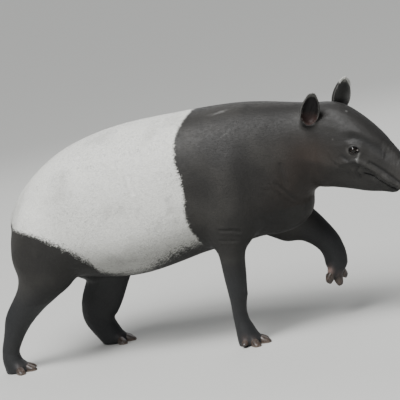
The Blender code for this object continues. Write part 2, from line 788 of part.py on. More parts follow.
def main():
    clear_scene()
    flesh = add_flesh()
    level_soles(flesh)
    lids = []
    for side in (-1, 1):
        sizes = (EYE_RADIUS + LID_THICKNESS,) * 3
        lids.append(add_ball("lid", eye_axes(side).matrix(), sizes, rings=12, sides=18))
    combine(flesh, lids, "UNION")

    seats = [add_ear_seat(name) for name in EARS] + [add_tail("seat", GAP)]
    for side in (-1, 1):
        seats.append(add_lid_opening("opening", side))
    combine(flesh, seats, "DIFFERENCE")
    sockets = [add_eyeball("socket", side, GAP) for side in (-1, 1)]
    nostrils = [add_nostril("nostril", side) for side in (-1, 1)]
    combine(flesh, sockets + nostrils, "DIFFERENCE")
    hooves = []
    hoof_seats = []
    for foot, (_, _, _, toes, _) in FEET.items():
        for number, toe in enumerate(toes, 1):
            hooves.append(add_hoof(f"hoof_{foot}_{number}", foot, toe))
            hoof_seats.append(add_hoof("seat", foot, toe, GAP))
    combine(flesh, hoof_seats, "DIFFERENCE")

    named = part_off(flesh, [add_plate("cut", *plate) for plate in CUTS], SEEDS)
    rear = named.pop("hindquarters")
    named.update(part_off(rear, [add_plate("cut", *REAR_CUT)], REAR_SEEDS))
    face = named.pop("face")
    mouth = [add_strip("mouth", smooth_rows(JAW_LINE, 3), -CHEEK_REACH, CHEEK_REACH, GAP)]
    for side in (-1, 1):
        inner, outer = sorted((side * LIP_DEPTH, side * CHEEK_REACH))
        mouth.append(add_strip("lips", smooth_rows(MOUTH_LINE, 3), inner, outer, LIP_GAP))
    named.update(part_off(face, mouth, MOUTH_SEEDS))
    upper = named.pop("upper_face")
    named.update(part_off(upper, [add_plate("cut", *SNOUT_CUT)], FACE_SEEDS))

    items = list(named.values()) + hooves + [add_tail("tail")]
    items += [add_ear(name) for name in EARS]
    items += [add_eyeball(name, side) for name, side in (("eye_right", -1), ("eye_left", 1))]
    for item in items:
        look = "black"
        if item.name == "barrel":
            look = "white"
        for start in ("hoof", "eye"):
            if item.name.startswith(start):
                look = start
        paint(item, look)
    stand_in_place(items)


def stand_in_place(items):
    """Hang every part on one empty that centres the animal over the origin."""
    points = [vertex.co for item in items for vertex in item.data.vertices]
    low = [min(point[axis] for point in points) for axis in range(3)]
    high = [max(point[axis] for point in points) for axis in range(3)]
    tapir = bpy.data.objects.new("tapir", None)
    bpy.context.scene.collection.objects.link(tapir)
    tapir.location = (-(low[0] + high[0]) / 2, -(low[1] + high[1]) / 2, -low[2])
    for item in items:
        item.parent = tapir


main()
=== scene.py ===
import json
import math

import bpy
import numpy as np
from mathutils import Matrix, Vector

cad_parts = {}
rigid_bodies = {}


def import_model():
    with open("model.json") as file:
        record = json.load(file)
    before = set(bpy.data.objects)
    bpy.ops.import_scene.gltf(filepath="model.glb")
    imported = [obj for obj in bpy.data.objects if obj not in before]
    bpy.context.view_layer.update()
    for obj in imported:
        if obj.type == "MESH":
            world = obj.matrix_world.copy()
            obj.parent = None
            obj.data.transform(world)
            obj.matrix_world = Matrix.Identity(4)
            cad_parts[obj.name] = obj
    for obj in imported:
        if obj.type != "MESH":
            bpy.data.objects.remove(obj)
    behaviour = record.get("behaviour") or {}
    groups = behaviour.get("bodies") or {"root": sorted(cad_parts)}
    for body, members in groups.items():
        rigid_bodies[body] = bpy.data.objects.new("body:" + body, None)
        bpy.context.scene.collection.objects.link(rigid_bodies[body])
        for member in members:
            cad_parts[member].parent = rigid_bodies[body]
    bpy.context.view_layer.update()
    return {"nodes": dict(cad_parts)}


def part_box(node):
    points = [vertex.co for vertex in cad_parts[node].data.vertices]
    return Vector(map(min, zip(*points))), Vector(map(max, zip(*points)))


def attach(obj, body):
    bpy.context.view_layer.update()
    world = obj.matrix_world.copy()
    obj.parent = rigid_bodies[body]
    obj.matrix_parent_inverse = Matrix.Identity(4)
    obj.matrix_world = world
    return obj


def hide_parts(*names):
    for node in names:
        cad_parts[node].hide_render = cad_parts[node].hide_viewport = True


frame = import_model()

sides = {"right": -1, "left": 1}
mendRounds = 8
smoothLevels = 20                    # steps from none to full smoothing


# Small helpers

def setMode(mode):
    bpy.ops.object.mode_set(mode=mode)


def deselectAll():
    if bpy.context.object and bpy.context.object.mode != "OBJECT":
        setMode("OBJECT")
    bpy.ops.object.select_all(action="DESELECT")


def makeActive(piece):
    deselectAll()
    piece.select_set(True)
    bpy.context.view_layer.objects.active = piece


def editAll(piece, action="SELECT"):         # edit mode with every face selected, or none
    makeActive(piece)
    setMode("EDIT")
    bpy.ops.mesh.select_mode(type="FACE")
    bpy.ops.mesh.select_all(action=action)


def applyModifier(piece, kind, **settings):
    makeActive(piece)
    modifier = piece.modifiers.new("step", kind)
    for key, value in settings.items():
        setattr(modifier, key, value)
    bpy.ops.object.modifier_apply(modifier=modifier.name)


def relax(piece, iterations, **settings):
    applyModifier(piece, "SMOOTH", factor=0.5, iterations=iterations, **settings)


def combine(piece, other, operation):
    applyModifier(piece, "BOOLEAN", object=other, operation=operation, solver="MANIFOLD")
    bpy.data.objects.remove(other, do_unlink=True)


def joinAll(name, pieces):
    makeActive(pieces[0])
    for piece in pieces:
        piece.select_set(True)
    bpy.ops.object.join()
    whole = bpy.context.object
    whole.name = name
    whole.data.materials.clear()
    return whole


def readRows(parts, key, width=3, kind=float):     # one row for each part of a mesh
    flat = np.empty(len(parts) * width, kind)
    parts.foreach_get(key, flat)
    return flat.reshape(-1, width)


def readPoints(piece, key="co"):     # co or normal, one row for each vertex
    return readRows(piece.data.vertices, key)


def writePoints(piece, points):
    piece.data.vertices.foreach_set("co", np.asarray(points).ravel())
    piece.data.update()


def addBall(name, place, radius, segments=48, rings=32):
    deselectAll()
    bpy.ops.mesh.primitive_uv_sphere_add(segments=segments, ring_count=rings, radius=1)
    piece = bpy.context.object
    piece.name = name
    writePoints(piece, readPoints(piece) * radius + place)
    return piece


def faceCentres(piece):
    return readRows(piece.data.polygons, "center")


def selectFaces(piece, chosen):      # and go into edit mode
    editAll(piece, "DESELECT")
    setMode("OBJECT")
    piece.data.polygons.foreach_set("select", chosen)
    setMode("EDIT")


def refine(piece, chosen):
    selectFaces(piece, chosen)
    bpy.ops.mesh.subdivide(number_cuts=1, smoothness=0)
    bpy.ops.mesh.quads_convert_to_tris()
    setMode("OBJECT")


def selectOpen(piece):               # the points where a surface isn't closed, and how many they are
    bpy.ops.mesh.select_mode(type="VERT")
    bpy.ops.mesh.select_all(action="DESELECT")
    bpy.ops.mesh.select_non_manifold()
    return piece.data.total_vert_sel


def mend(piece):                     # all triangles, closed where fusing leaves slivers
    editAll(piece)
    bpy.ops.mesh.quads_convert_to_tris()
    for attempt in range(mendRounds):
        if not selectOpen(piece):
            break
        for ring in range(1 + attempt // 2):         # a wider hole where narrow ones didn't close
            bpy.ops.mesh.select_more()
        bpy.ops.mesh.delete(type="VERT")
        bpy.ops.mesh.select_all(action="SELECT")
        bpy.ops.mesh.delete_loose()
        selectOpen(piece)
        bpy.ops.mesh.fill_holes(sides=0)
        bpy.ops.mesh.quads_convert_to_tris()
    setMode("OBJECT")


def fixNormals(piece):
    editAll(piece)
    bpy.ops.mesh.normals_make_consistent(inside=False)
    setMode("OBJECT")


def smoothWhere(piece, weights, iterations):
    group = piece.vertex_groups.new(name="soft")
    levels = np.round(np.clip(weights, 0, 1) * smoothLevels).astype(int)
    for level in range(1, smoothLevels + 1):
        chosen = np.nonzero(levels == level)[0]
        if len(chosen):
            group.add(chosen.tolist(), level / smoothLevels, "REPLACE")
    relax(piece, iterations, vertex_group="soft")
    piece.vertex_groups.clear()


def setAttribute(mesh, name, values):
    attribute = mesh.attributes.new(name, "FLOAT", "POINT")
    attribute.data.foreach_set("value", np.asarray(values, dtype=np.float32))


def ramp(value, low, high):
    t = np.clip((value - low) / (high - low), 0, 1)
    return t * t * (3 - 2 * t)


def bell(value, width):
    return np.exp(-(value / width) ** 2)


def unit(rows):
    return rows / np.maximum(np.linalg.norm(rows, axis=1, keepdims=True), 1e-9)


def distanceTo(points, place):
    return np.linalg.norm(points - place, axis=1)


def strongest(shares):               # the largest of several shares at each point
    return np.maximum.reduce(list(shares))


def lineDistance(points, line):      # to a line through several points, in two or three axes
    nearest = np.full(len(points), 9.0)
    for start, stop in zip(line, line[1:]):
        start, stop = np.array(start, float), np.array(stop, float)
        run = stop - start
        share = np.clip((points - start) @ run / (run @ run), 0, 1)
        gap = np.linalg.norm(points - start - share[:, None] * run, axis=1)
        nearest = np.minimum(nearest, gap)
    return nearest


def sideDistance(held, line):        # to a line drawn on the head's side view
    return lineDistance(held[:, [0, 2]], line)


def mirrorDistance(points, line):    # to a line on the near side or its image on the far one
    return np.minimum(lineDistance(points, line), lineDistance(points * (1, -1, 1), line))


def ride(piece, look, slot, *nodes):
    piece.data.materials.clear()
    piece.data.materials.append(look)
    makeActive(piece)
    bpy.ops.object.shade_smooth()
    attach(piece, "root")
    if nodes:
        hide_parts(*nodes)


# Camera, floor and light
print("camera, floor and light")

view = {
    "azimuth": 18, "elevation": 10,
    "roll": 11,                    # takes out the slope that the animal walks down
    "target": (0, 0, 0.62), "distance": 8.0,
    "metresPerPixel": 0.00425,     # at the target
    "pixels": 400, "sensor": 36,
}
lamps = {
    "key": {"place": (-0.9, -4.0, 5.7), "size": 3.4, "power": 460},       # and the spark in the eye
    "back": {"place": (-1.0, 4.5, 4.0), "size": 5.0, "power": 120},
}
sky = {"colour": (0.90, 0.93, 0.96), "strength": 0.25}
sun = {"turn": (24, -16, 0), "spread": 30, "strength": 2.3}
floorFacts = {"size": 400, "colour": (0.56, 0.56, 0.54)}


def addCamera():
    azimuth, elevation, roll = (math.radians(view[k]) for k in ("azimuth", "elevation", "roll"))
    back = Vector((math.sin(azimuth) * math.cos(elevation),
                   -math.cos(azimuth) * math.cos(elevation), math.sin(elevation)))
    level = Vector((math.cos(azimuth), math.sin(azimuth), 0))
    plumb = back.cross(level)
    right = level * math.cos(roll) - plumb * math.sin(roll)
    up = level * math.sin(roll) + plumb * math.cos(roll)
    place = Vector(view["target"]) + back * view["distance"]
    bpy.ops.object.camera_add(location=place)
    camera = bpy.context.object
    camera.matrix_world = Matrix.Translation(place) @ Matrix((right, up, back)).transposed().to_4x4()
    camera.data.sensor_width = view["sensor"]
    focal = view["distance"] / view["metresPerPixel"]
    camera.data.lens = view["sensor"] * focal / view["pixels"]
    camera.data.clip_end = floorFacts["size"] * 2
    bpy.context.scene.camera = camera


def addLamps():
    for name, lamp in lamps.items():
        bpy.ops.object.light_add(type="AREA", location=lamp["place"])
        light = bpy.context.object
        light.name = name
        light.data.size = lamp["size"]
        light.data.energy = lamp["power"]
        aim = Vector(view["target"]) - Vector(lamp["place"])
        light.rotation_euler = aim.to_track_quat("-Z", "Y").to_euler()
    bpy.ops.object.light_add(type="SUN", rotation=[math.radians(angle) for angle in sun["turn"]])
    light = bpy.context.object
    light.data.angle = math.radians(sun["spread"])
    light.data.energy = sun["strength"]
    world = bpy.data.worlds.new("studio")
    bpy.context.scene.world = world
    world.use_nodes = True
    background = world.node_tree.nodes["Background"]
    background.inputs["Color"].default_value = (*sky["colour"], 1)
    background.inputs["Strength"].default_value = sky["strength"]


def addFloor():
    deselectAll()
    bpy.ops.mesh.primitive_plane_add(size=floorFacts["size"], location=(0, 0, 0))
    floor = bpy.context.object
    floor.name = "floor"
    look = bpy.data.materials.new("paleFloor")
    look.use_nodes = True
    shader = look.node_tree.nodes["Principled BSDF"]
    shader.inputs["Base Color"].default_value = (*floorFacts["colour"], 1)
    shader.inputs["Roughness"].default_value = 0.9
    floor.data.materials.append(look)


addCamera()
addLamps()
addFloor()


# The head's own axes, worked out from the two eyes
headHeld = {"yaw": -18, "pitch": 20, "eyeForward": 0.208, "eyeUp": 0.043}


def boxCentre(node):
    low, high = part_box(node)
    return np.array((low + high) / 2)


headTurn = np.array(Matrix.Rotation(math.radians(headHeld["yaw"]), 3, "Z")
                    @ Matrix.Rotation(math.radians(headHeld["pitch"]), 3, "Y"))
betweenEyes = (boxCentre("eye_right") + boxCentre("eye_left")) / 2
headOrigin = betweenEyes - headTurn @ np.array((headHeld["eyeForward"], 0, headHeld["eyeUp"]))


def fromHead(points):
    return np.asarray(points, float) @ headTurn.T + headOrigin


def toHead(points):                  # columns: forward, left, up
    return (np.asarray(points, float) - headOrigin) @ headTurn


# Levels over which the lower legs end, and how far forward on its own axes the head starts
zones = {
    "legs": (0.28, 0.42), "raisedLeg": (0.36, 0.52), "head": (-0.07, 0.05),
    "raisedFrom": 0.38, "headAbove": 0.56,     # the raised leg lies ahead of one and below the other
    "raisedFoot": 0.40,
}


def legShare(points):                # 1 on the lower legs
    low = 1 - ramp(points[:, 2], *zones["legs"])
    raised = (points[:, 0] > zones["raisedFrom"]) & (points[:, 2] < zones["headAbove"])
    return np.where(raised, 1 - ramp(points[:, 2], *zones["raisedLeg"]), low)


def headShare(points):
    return ramp(toHead(points)[:, 0], *zones["head"]) * (points[:, 2] > zones["headAbove"])


# Ears
ears = {
    "places": {"right": (0.003, -0.107, 0.166), "left": (0.031, 0.096, 0.196)},   # on the head
    "facing": {"right": -58, "left": -36},
    "lean": {"right": 12, "left": 4},
    "sizes": (0.0270, 0.0400, 0.0740),     # half depth, half width, half height
    "hollow": (0.0325, 0.0352, 0.0665),
    "hollowForward": 0.0125, "hollowUp": 0.003,
    "taper": 0.22, "voxel": 0.0024, "smooth": 5,
    "root": (0.027, 0.036, 0.034), "rootUp": -0.048, "rootClear": 0.0015,
    "rootAside": {"right": 0, "left": -0.015},
    "fold": 0.010, "foldWidth": 0.0065, "foldHeight": 0.0042,      # the fold that runs up inside
    "foldLean": 0.12, "foldFrom": (-0.06, -0.03), "foldTo": (0.005, 0.045), "foldInside": (0.06, 0.93),
    "notch": (0.012, 0.009, 0.016), "notchPlace": (0.024, 0.012, -0.062),
}


def earAxes(side):                   # origin and turn of an ear's own axes
    turned = Matrix.Rotation(math.radians(ears["facing"][side]), 3, "Z")
    turned = turned @ Matrix.Rotation(math.radians(ears["lean"][side]), 3, "Y")
    return fromHead([ears["places"][side]])[0], headTurn @ np.array(turned)


def toEar(points, side):
    origin, turned = earAxes(side)
    return (points - origin) @ turned


def eggLevel(local, sizes, forward=0.0, up=0.0):     # 1 on the egg, less inside it
    across = (local - (forward, 0, up)) / sizes
    taper = 1 - ears["taper"] * np.clip(across[:, 2], -1, 1)
    across[:, :2] /= taper[:, None]
    return np.linalg.norm(across, axis=1)


def hollowLevel(local):
    return eggLevel(local, ears["hollow"], ears["hollowForward"], ears["hollowUp"])


def addEgg(name, side, sizes, forward=0.0, up=0.0, left=0.0):
    origin, turned = earAxes(side)
    piece = addBall(name, 0, 1, segments=56, rings=40)
    points = readPoints(piece)
    points[:, :2] *= 1 - ears["taper"] * points[:, 2:]
    points = points * sizes + (forward, left, up)
    writePoints(piece, points @ turned.T + origin)
    return piece


def addEar(side):
    shell = addEgg("ear", side, ears["sizes"])
    cup = addEgg("cup", side, ears["hollow"], ears["hollowForward"], ears["hollowUp"])
    combine(shell, cup, "DIFFERENCE")
    forward, left, up = ears["notchPlace"]
    notch = addEgg("notch", side, ears["notch"], forward, up, left * sides[side])
    combine(shell, notch, "DIFFERENCE")
    applyModifier(shell, "REMESH", mode="VOXEL", voxel_size=ears["voxel"])
    relax(shell, ears["smooth"])
    local = toEar(readPoints(shell), side)
    depth, outer = ears["foldInside"]
    inside = bell(hollowLevel(local) - 1, depth) * (eggLevel(local, ears["sizes"]) < outer)
    aside = -sides[side] * local[:, 1] - ears["foldLean"] * local[:, 2]
    fold = bell(aside - ears["fold"], ears["foldWidth"])
    fade = ramp(local[:, 2], *ears["foldFrom"]) * (1 - ramp(local[:, 2], *ears["foldTo"]))
    local[:, 0] += ears["foldHeight"] * fold * fade * inside
    origin, turned = earAxes(side)
    writePoints(shell, local @ turned.T + origin)
    return shell


# Skin
skinFacts = {
    "voxel": 0.0050,
    "swell": 0.0016,         # the solids grow by this, so that they fuse across their gaps
    "coatDepth": 0.0020,     # how far the skin lies inside the solids
    "smoothAll": 6, "smoothTrunk": 70, "smoothRoots": 12,
    "trunkKept": 0.10,       # share of the trunk's faces that is kept
    "legKept": 0.30, "footTop": 0.11,                          # the feet below this keep all theirs
    "fineFrom": 0.30,        # share of leg or head at which the finer faces start
    "rootReach": (0.040, 0.060), "rootTop": (-0.045, -0.025),  # the smoothed skin round an ear's root
}


def addNodeCopy(node):
    piece = bpy.data.objects.new(node + "_copy", frame["nodes"][node].data.copy())
    bpy.context.scene.collection.objects.link(piece)
    editAll(piece)
    bpy.ops.mesh.remove_doubles(threshold=0.00002)
    setMode("OBJECT")
    return piece


def keepLargest(piece):
    editAll(piece)
    bpy.ops.mesh.separate(type="LOOSE")
    setMode("OBJECT")
    parts = sorted(bpy.context.selected_objects, key=lambda part: -len(part.data.vertices))
    for part in parts[1:]:
        bpy.data.objects.remove(part, do_unlink=True)
    return parts[0]


def thin(piece, chosen, kept):
    selectFaces(piece, chosen)
    bpy.ops.mesh.decimate(ratio=kept)
    setMode("OBJECT")


def addSkin():
    pieces = [addNodeCopy(node) for node in frame["nodes"] if not node.startswith("ear")]
    for side in sides:
        root = addEgg("earRoot", side, ears["root"], up=ears["rootUp"], left=ears["rootAside"][side])
        clear = np.array(ears["hollow"]) + ears["rootClear"]
        combine(root, addEgg("cup", side, clear, ears["hollowForward"], ears["hollowUp"]), "DIFFERENCE")
        pieces.append(root)
    skin = joinAll("skin", pieces)
    applyModifier(skin, "DISPLACE", strength=skinFacts["swell"], mid_level=0.0)
    applyModifier(skin, "REMESH", mode="VOXEL", voxel_size=skinFacts["voxel"])
    skin = keepLargest(skin)
    relax(skin, skinFacts["smoothAll"])
    points = readPoints(skin)
    trunk = 1 - np.maximum(headShare(points), legShare(points))
    smoothWhere(skin, trunk, skinFacts["smoothTrunk"])
    inward = -skinFacts["swell"] - skinFacts["coatDepth"]
    applyModifier(skin, "DISPLACE", strength=inward, mid_level=0.0)
    fine = skinFacts["fineFrom"]
    centres = faceCentres(skin)
    thin(skin, np.maximum(headShare(centres), legShare(centres)) < fine, skinFacts["trunkKept"])
    centres = faceCentres(skin)
    onLegs = (legShare(centres) > fine) & (centres[:, 2] > skinFacts["footTop"])
    thin(skin, onLegs, skinFacts["legKept"])
    mend(skin)
    for side in sides:
        combine(skin, addEar(side), "UNION")
        mend(skin)
    points = readPoints(skin)
    roots = np.zeros(len(points))
    for side in sides:
        local = toEar(points, side)
        reach = distanceTo(local, (0, 0, ears["rootUp"]))
        near = 1 - ramp(reach, *skinFacts["rootReach"])
        near *= 1 - ramp(local[:, 2], *skinFacts["rootTop"])
        roots = np.maximum(roots, near * (hollowLevel(local) > 1.03))
    smoothWhere(skin, roots, skinFacts["smoothRoots"])
    return skin


print("skin: fusing the solids and the ears")
skin = addSkin()


# Eyes, lids, nostrils and mouth
print("lids, folds, nostrils and mouth")

eyes = {
    "outward": 66, "tilt": -14,            # how far each eye looks to its side; slant of the lids
    "lid": 0.0034,                         # thickness of a lid over the ball
    "halfWidth": 0.88, "rise": 0.78, "drop": 0.68,     # of the opening, in eyeball radii
    "corner": 1.04,                        # the front corner's half width, drawn out to a point
    "out": (0.33, 2.4), "flare": 1.6,      # where the opening starts and ends, how it widens
    "reach": 1.8,                          # how far round the ball the lids stand clear, in radii
    "blend": 0.0015, "socketGap": 0.0003,
    "rim": (1.08, 0.14),                   # softened edge: place and half width, shares of the opening
}
eyeRadius = (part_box("eye_right")[1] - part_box("eye_right")[0])[2] / 2
# Ridges and creases of the lids: height, place as a share of the opening, half width, where
lidCreases = ((-0.0013, 1.66, 0.11, "above"), (0.0010, 1.30, 0.18, "round"),
              (-0.0012, 1.72, 0.11, "below"), (-0.0009, 2.20, 0.13, "below"))
nostril = {"place": (0.486, 0.0165, -0.082), "sizes": (0.022, 0.0078, 0.0135), "pitch": 16}
mouth = {
    "line": ((0.470, -0.118), (0.425, -0.101), (0.395, -0.090), (0.350, -0.066),
             (0.305, -0.050), (0.262, -0.048)),
    "gap": 0.0032, "cornerShare": 0.3, "halfWidth": 0.12,
    "from": 0.20, "smoothWidth": 0.012, "smooth": 20,          # smoothed along the line before it opens
    "rimWidth": 0.0035, "rimSmooth": 4,                        # softened edges, the lids' as well
}
# Where the skin gets finer faces, in steps: round the eyes, along the mouth (from, within), at folds
finer = {"eyes": (0.046, 0.032), "mouth": ((0.200, 0.014), (0.230, 0.007)), "folds": (0.026, 0.015)}
# On the head's side view: line, half width, height
faceFolds = {
    "browHollow": (((0.196, 0.090), (0.240, 0.085), (0.300, 0.068), (0.340, 0.050)), 0.016, -0.0026),
    "browRidge": (((0.150, 0.106), (0.215, 0.112), (0.290, 0.098)), 0.018, 0.0018),
    "underEye": (((0.168, 0.008), (0.198, -0.004), (0.232, -0.006)), 0.007, -0.0016),
    "cheekStreak": (((0.112, 0.010), (0.124, -0.010), (0.146, -0.026)), 0.006, 0.0016),
    "cheekEdge": (((0.030, 0.050), (0.048, -0.030), (0.080, -0.100)), 0.016, -0.0030),
    "lipRidge": (((0.211, -0.008), (0.242, 0.000), (0.306, -0.024), (0.360, -0.047),
                  (0.430, -0.074)), 0.008, 0.0030),
    "lipGroove": (((0.285, 0.008), (0.345, -0.015), (0.400, -0.040), (0.440, -0.060)),
                  0.006, -0.0036),
    "cornerFold": (((0.238, -0.022), (0.233, -0.045), (0.246, -0.070)), 0.0042, -0.0026),
    "backFold": (((0.216, -0.032), (0.209, -0.055), (0.220, -0.086)), 0.0045, -0.0011),
    "chinFold": (((0.270, -0.085), (0.305, -0.082), (0.350, -0.090)), 0.0045, -0.0012),
}
snoutRings = {
    "from": 0.350, "step": 0.0150, "count": 9, "halfWidth": 0.0026, "height": -0.0007,
    "lean": 0.25, "wander": 0.004, "waves": 60, "above": (-0.085, -0.060),
}
grooveLips = {"below": 0.010, "share": 0.35}       # grooves narrower than this have lips this high
# In the frame, on the near side and mirrored to the far one: line, half width, height
bodyFolds = {
    "neck": (((0.419, -0.157, 0.748), (0.424, -0.157, 0.709), (0.429, -0.152, 0.658)), 0.011, -0.0044),
    "throat": (((0.385, -0.168, 0.675), (0.410, -0.154, 0.643), (0.429, -0.133, 0.610),
                (0.442, -0.113, 0.591)), 0.008, -0.0035),
    "elbow": (((0.130, -0.222, 0.520), (0.182, -0.220, 0.514), (0.212, -0.211, 0.504)),
              0.007, -0.0030),
    "underElbow": (((0.120, -0.205, 0.478), (0.165, -0.212, 0.470), (0.200, -0.205, 0.462)),
                   0.006, -0.0022),
    "flank": (((-0.205, -0.245, 0.802), (-0.200, -0.255, 0.770), (-0.196, -0.260, 0.736)),
              0.009, -0.0024),
}


def eyeAxes(side):
    turned = Matrix.Rotation(sides[side] * math.radians(eyes["outward"]), 3, "Z")
    return boxCentre("eye_" + side), headTurn @ np.array(turned)


def turnInPlane(local, angle):
    turned = local.copy()
    turned[:, 1] = local[:, 1] * math.cos(angle) - local[:, 2] * math.sin(angle)
    turned[:, 2] = local[:, 1] * math.sin(angle) + local[:, 2] * math.cos(angle)
    return turned


def toEye(points, side):             # out along the gaze, back from the front corner, up
    origin, turned = eyeAxes(side)
    local = turnInPlane((points - origin) @ turned, -sides[side] * math.radians(eyes["tilt"]))
    return local * (1, sides[side], 1)


def fromEye(local, side):
    origin, turned = eyeAxes(side)
    tilted = turnInPlane(local * (1, sides[side], 1), sides[side] * math.radians(eyes["tilt"]))
    return tilted @ turned.T + origin


def lidLevel(local):                 # 1 on the lids' edge, more outside it, 9 off the eye
    half = np.where(local[:, 1] < 0, eyes["corner"], eyes["halfWidth"]) * eyeRadius
    lift = np.where(local[:, 2] > 0, eyes["rise"], eyes["drop"]) * eyeRadius
    level = np.hypot(local[:, 1] / half, local[:, 2] / lift)
    off = (local[:, 0] < 0) | (np.linalg.norm(local, axis=1) > 4 * eyeRadius)
    return np.where(off, 9.0, level)


def lidOutline(turn):                # back and up, with the front corner drawn to a point
    across, lift = np.cos(turn), np.sin(turn)
    half = np.where(across < 0, eyes["corner"], eyes["halfWidth"])
    height = np.where(lift > 0, eyes["rise"], eyes["drop"])
    narrowing = np.where(across < -0.5, 1 - 0.45 * ramp(-across, 0.5, 1), 1)
    return np.column_stack((across * half, lift * height * narrowing)) * eyeRadius


def addLidOpening(side):
    deselectAll()
    bpy.ops.mesh.primitive_cylinder_add(vertices=48, radius=1, depth=2)
    piece = bpy.context.object
    points = readPoints(piece)
    far = points[:, 2] > 0
    outline = lidOutline(np.arctan2(points[:, 1], points[:, 0]))
    outline *= np.where(far, eyes["flare"], 1)[:, None]
    out = np.where(far, eyes["out"][1], eyes["out"][0]) * eyeRadius
    writePoints(piece, fromEye(np.column_stack((out, outline)), side))
    fixNormals(piece)
    return piece


def addNostril(side):
    forward, aside, up = nostril["place"]
    piece = addBall("nostril", 0, np.array(nostril["sizes"]))
    pitch = np.array(Matrix.Rotation(math.radians(nostril["pitch"]), 3, "Y"))
    place = np.array((forward, sides[side] * aside, up))
    writePoints(piece, fromHead(readPoints(piece) @ pitch.T + place))
    return piece


def addMouthCut():                   # a thin wedge right across, closing to the corner
    start = mouth["line"][0]
    deselectAll()
    bpy.ops.mesh.primitive_plane_add(size=1)
    piece = bpy.context.object
    corners = readPoints(piece)
    flat = np.column_stack((np.full(4, start[0]), corners[:, 0] * 2 * mouth["halfWidth"],
                            start[1] + corners[:, 1] * mouth["gap"]))
    writePoints(piece, flat)
    editAll(piece)
    for before, after in zip(mouth["line"], mouth["line"][1:]):
        step = (after[0] - before[0], 0, after[1] - before[1])
        bpy.ops.mesh.extrude_region_move(TRANSFORM_OT_translate={"value": step})
    bpy.ops.transform.resize(value=(1, 1, mouth["cornerShare"]))
    setMode("OBJECT")
    writePoints(piece, fromHead(readPoints(piece)))
    fixNormals(piece)
    return piece


def refineFace(skin):
    points = readPoints(skin)
    held = toHead(points)
    alongMouth = bell(sideDistance(held, mouth["line"]), mouth["smoothWidth"])
    alongMouth *= (held[:, 0] > mouth["from"]) * headShare(points)
    smoothWhere(skin, alongMouth, mouth["smooth"])
    for reach in finer["eyes"]:
        centres = faceCentres(skin)
        refine(skin, strongest(distanceTo(centres, boxCentre("eye_" + side)) < reach for side in sides))
    for start, reach in finer["mouth"]:
        held = toHead(faceCentres(skin))
        refine(skin, (held[:, 0] > start) & (sideDistance(held, mouth["line"]) < reach))
    for reach in finer["folds"]:
        centres = faceCentres(skin)
        chosen = strongest(mirrorDistance(centres, fold[0]) < reach for fold in bodyFolds.values())
        refine(skin, chosen & (headShare(centres) < 0.5))


def raiseLids(points):               # lids stand clear of the balls, with creases round them
    blend, reach = eyes["blend"], eyes["reach"]
    wanted = eyeRadius + eyes["lid"]
    for side in sides:
        local = toEye(points, side)
        gap = np.linalg.norm(local, axis=1)
        near = (local[:, 0] > 0.1 * eyeRadius) & (gap < eyeRadius * reach)
        lifted = wanted + blend * np.logaddexp(0, (gap - wanted) / blend)
        level = lidLevel(local)
        above = ramp(local[:, 2], -0.001, 0.004)
        shares = {"above": above, "round": 1, "below": 1 - above}
        for height, place, halfWidth, where in lidCreases:
            crease = height * bell(level - place, halfWidth) * shares[where]
            lifted += crease * ramp(gap / eyeRadius, reach, reach - 0.3)
        local *= (np.where(near, lifted, gap) / np.maximum(gap, 1e-6))[:, None]
        points[near] = fromEye(local, side)[near]
    return points


def foldShape(gap, halfWidth, height):         # a groove with soft lips unless it is wide, or a ridge
    lips = grooveLips["share"] if halfWidth < grooveLips["below"] else 0.0
    return height * (bell(gap, halfWidth) - lips * bell(gap - 2 * halfWidth, halfWidth))


def foldSkin(skin):
    points = readPoints(skin)
    normals = readPoints(skin, "normal")
    held = toHead(points)
    onSide = np.clip(np.abs(normals @ headTurn[:, 1]) * 1.6, 0, 1) * headShare(points)
    rise = np.zeros(len(points))
    for line, halfWidth, height in faceFolds.values():
        rise += foldShape(sideDistance(held, line), halfWidth, height) * onSide
    for ring in range(snoutRings["count"]):
        start = snoutRings["from"] + ring * snoutRings["step"]
        wander = snoutRings["wander"] * np.sin(held[:, 1] * snoutRings["waves"] + ring * 2.1)
        gap = np.abs(held[:, 0] + snoutRings["lean"] * (held[:, 2] + 0.06) - start - wander)
        level = held[:, 2] + snoutRings["lean"] * (held[:, 0] - 0.42)
        above = ramp(level, *snoutRings["above"])
        rise += foldShape(gap, snoutRings["halfWidth"], snoutRings["height"]) * above
    body = 1 - headShare(points)
    for line, halfWidth, height in bodyFolds.values():
        rise += foldShape(mirrorDistance(points, line), halfWidth, height) * body
    writePoints(skin, points + normals * rise[:, None])


def openFace(skin):
    for side in sides:
        combine(skin, addLidOpening(side), "DIFFERENCE")
        socket = addBall("socket", boxCentre("eye_" + side), eyeRadius + eyes["socketGap"])
        combine(skin, socket, "DIFFERENCE")
        combine(skin, addNostril(side), "DIFFERENCE")
    combine(skin, addMouthCut(), "DIFFERENCE")
    mend(skin)
    points = readPoints(skin)
    held = toHead(points)
    lips = bell(sideDistance(held, mouth["line"]) - mouth["gap"] / 2, mouth["rimWidth"])
    lips *= (held[:, 0] > mouth["from"]) * headShare(points)
    place, halfWidth = eyes["rim"]
    lids = [bell(lidLevel(toEye(points, side)) - place, halfWidth) for side in sides]
    smoothWhere(skin, strongest([lips] + lids), mouth["rimSmooth"])


refineFace(skin)
writePoints(skin, raiseLids(readPoints(skin)))
foldSkin(skin)
openFace(skin)
print("skin", len(skin.data.polygons), "faces")


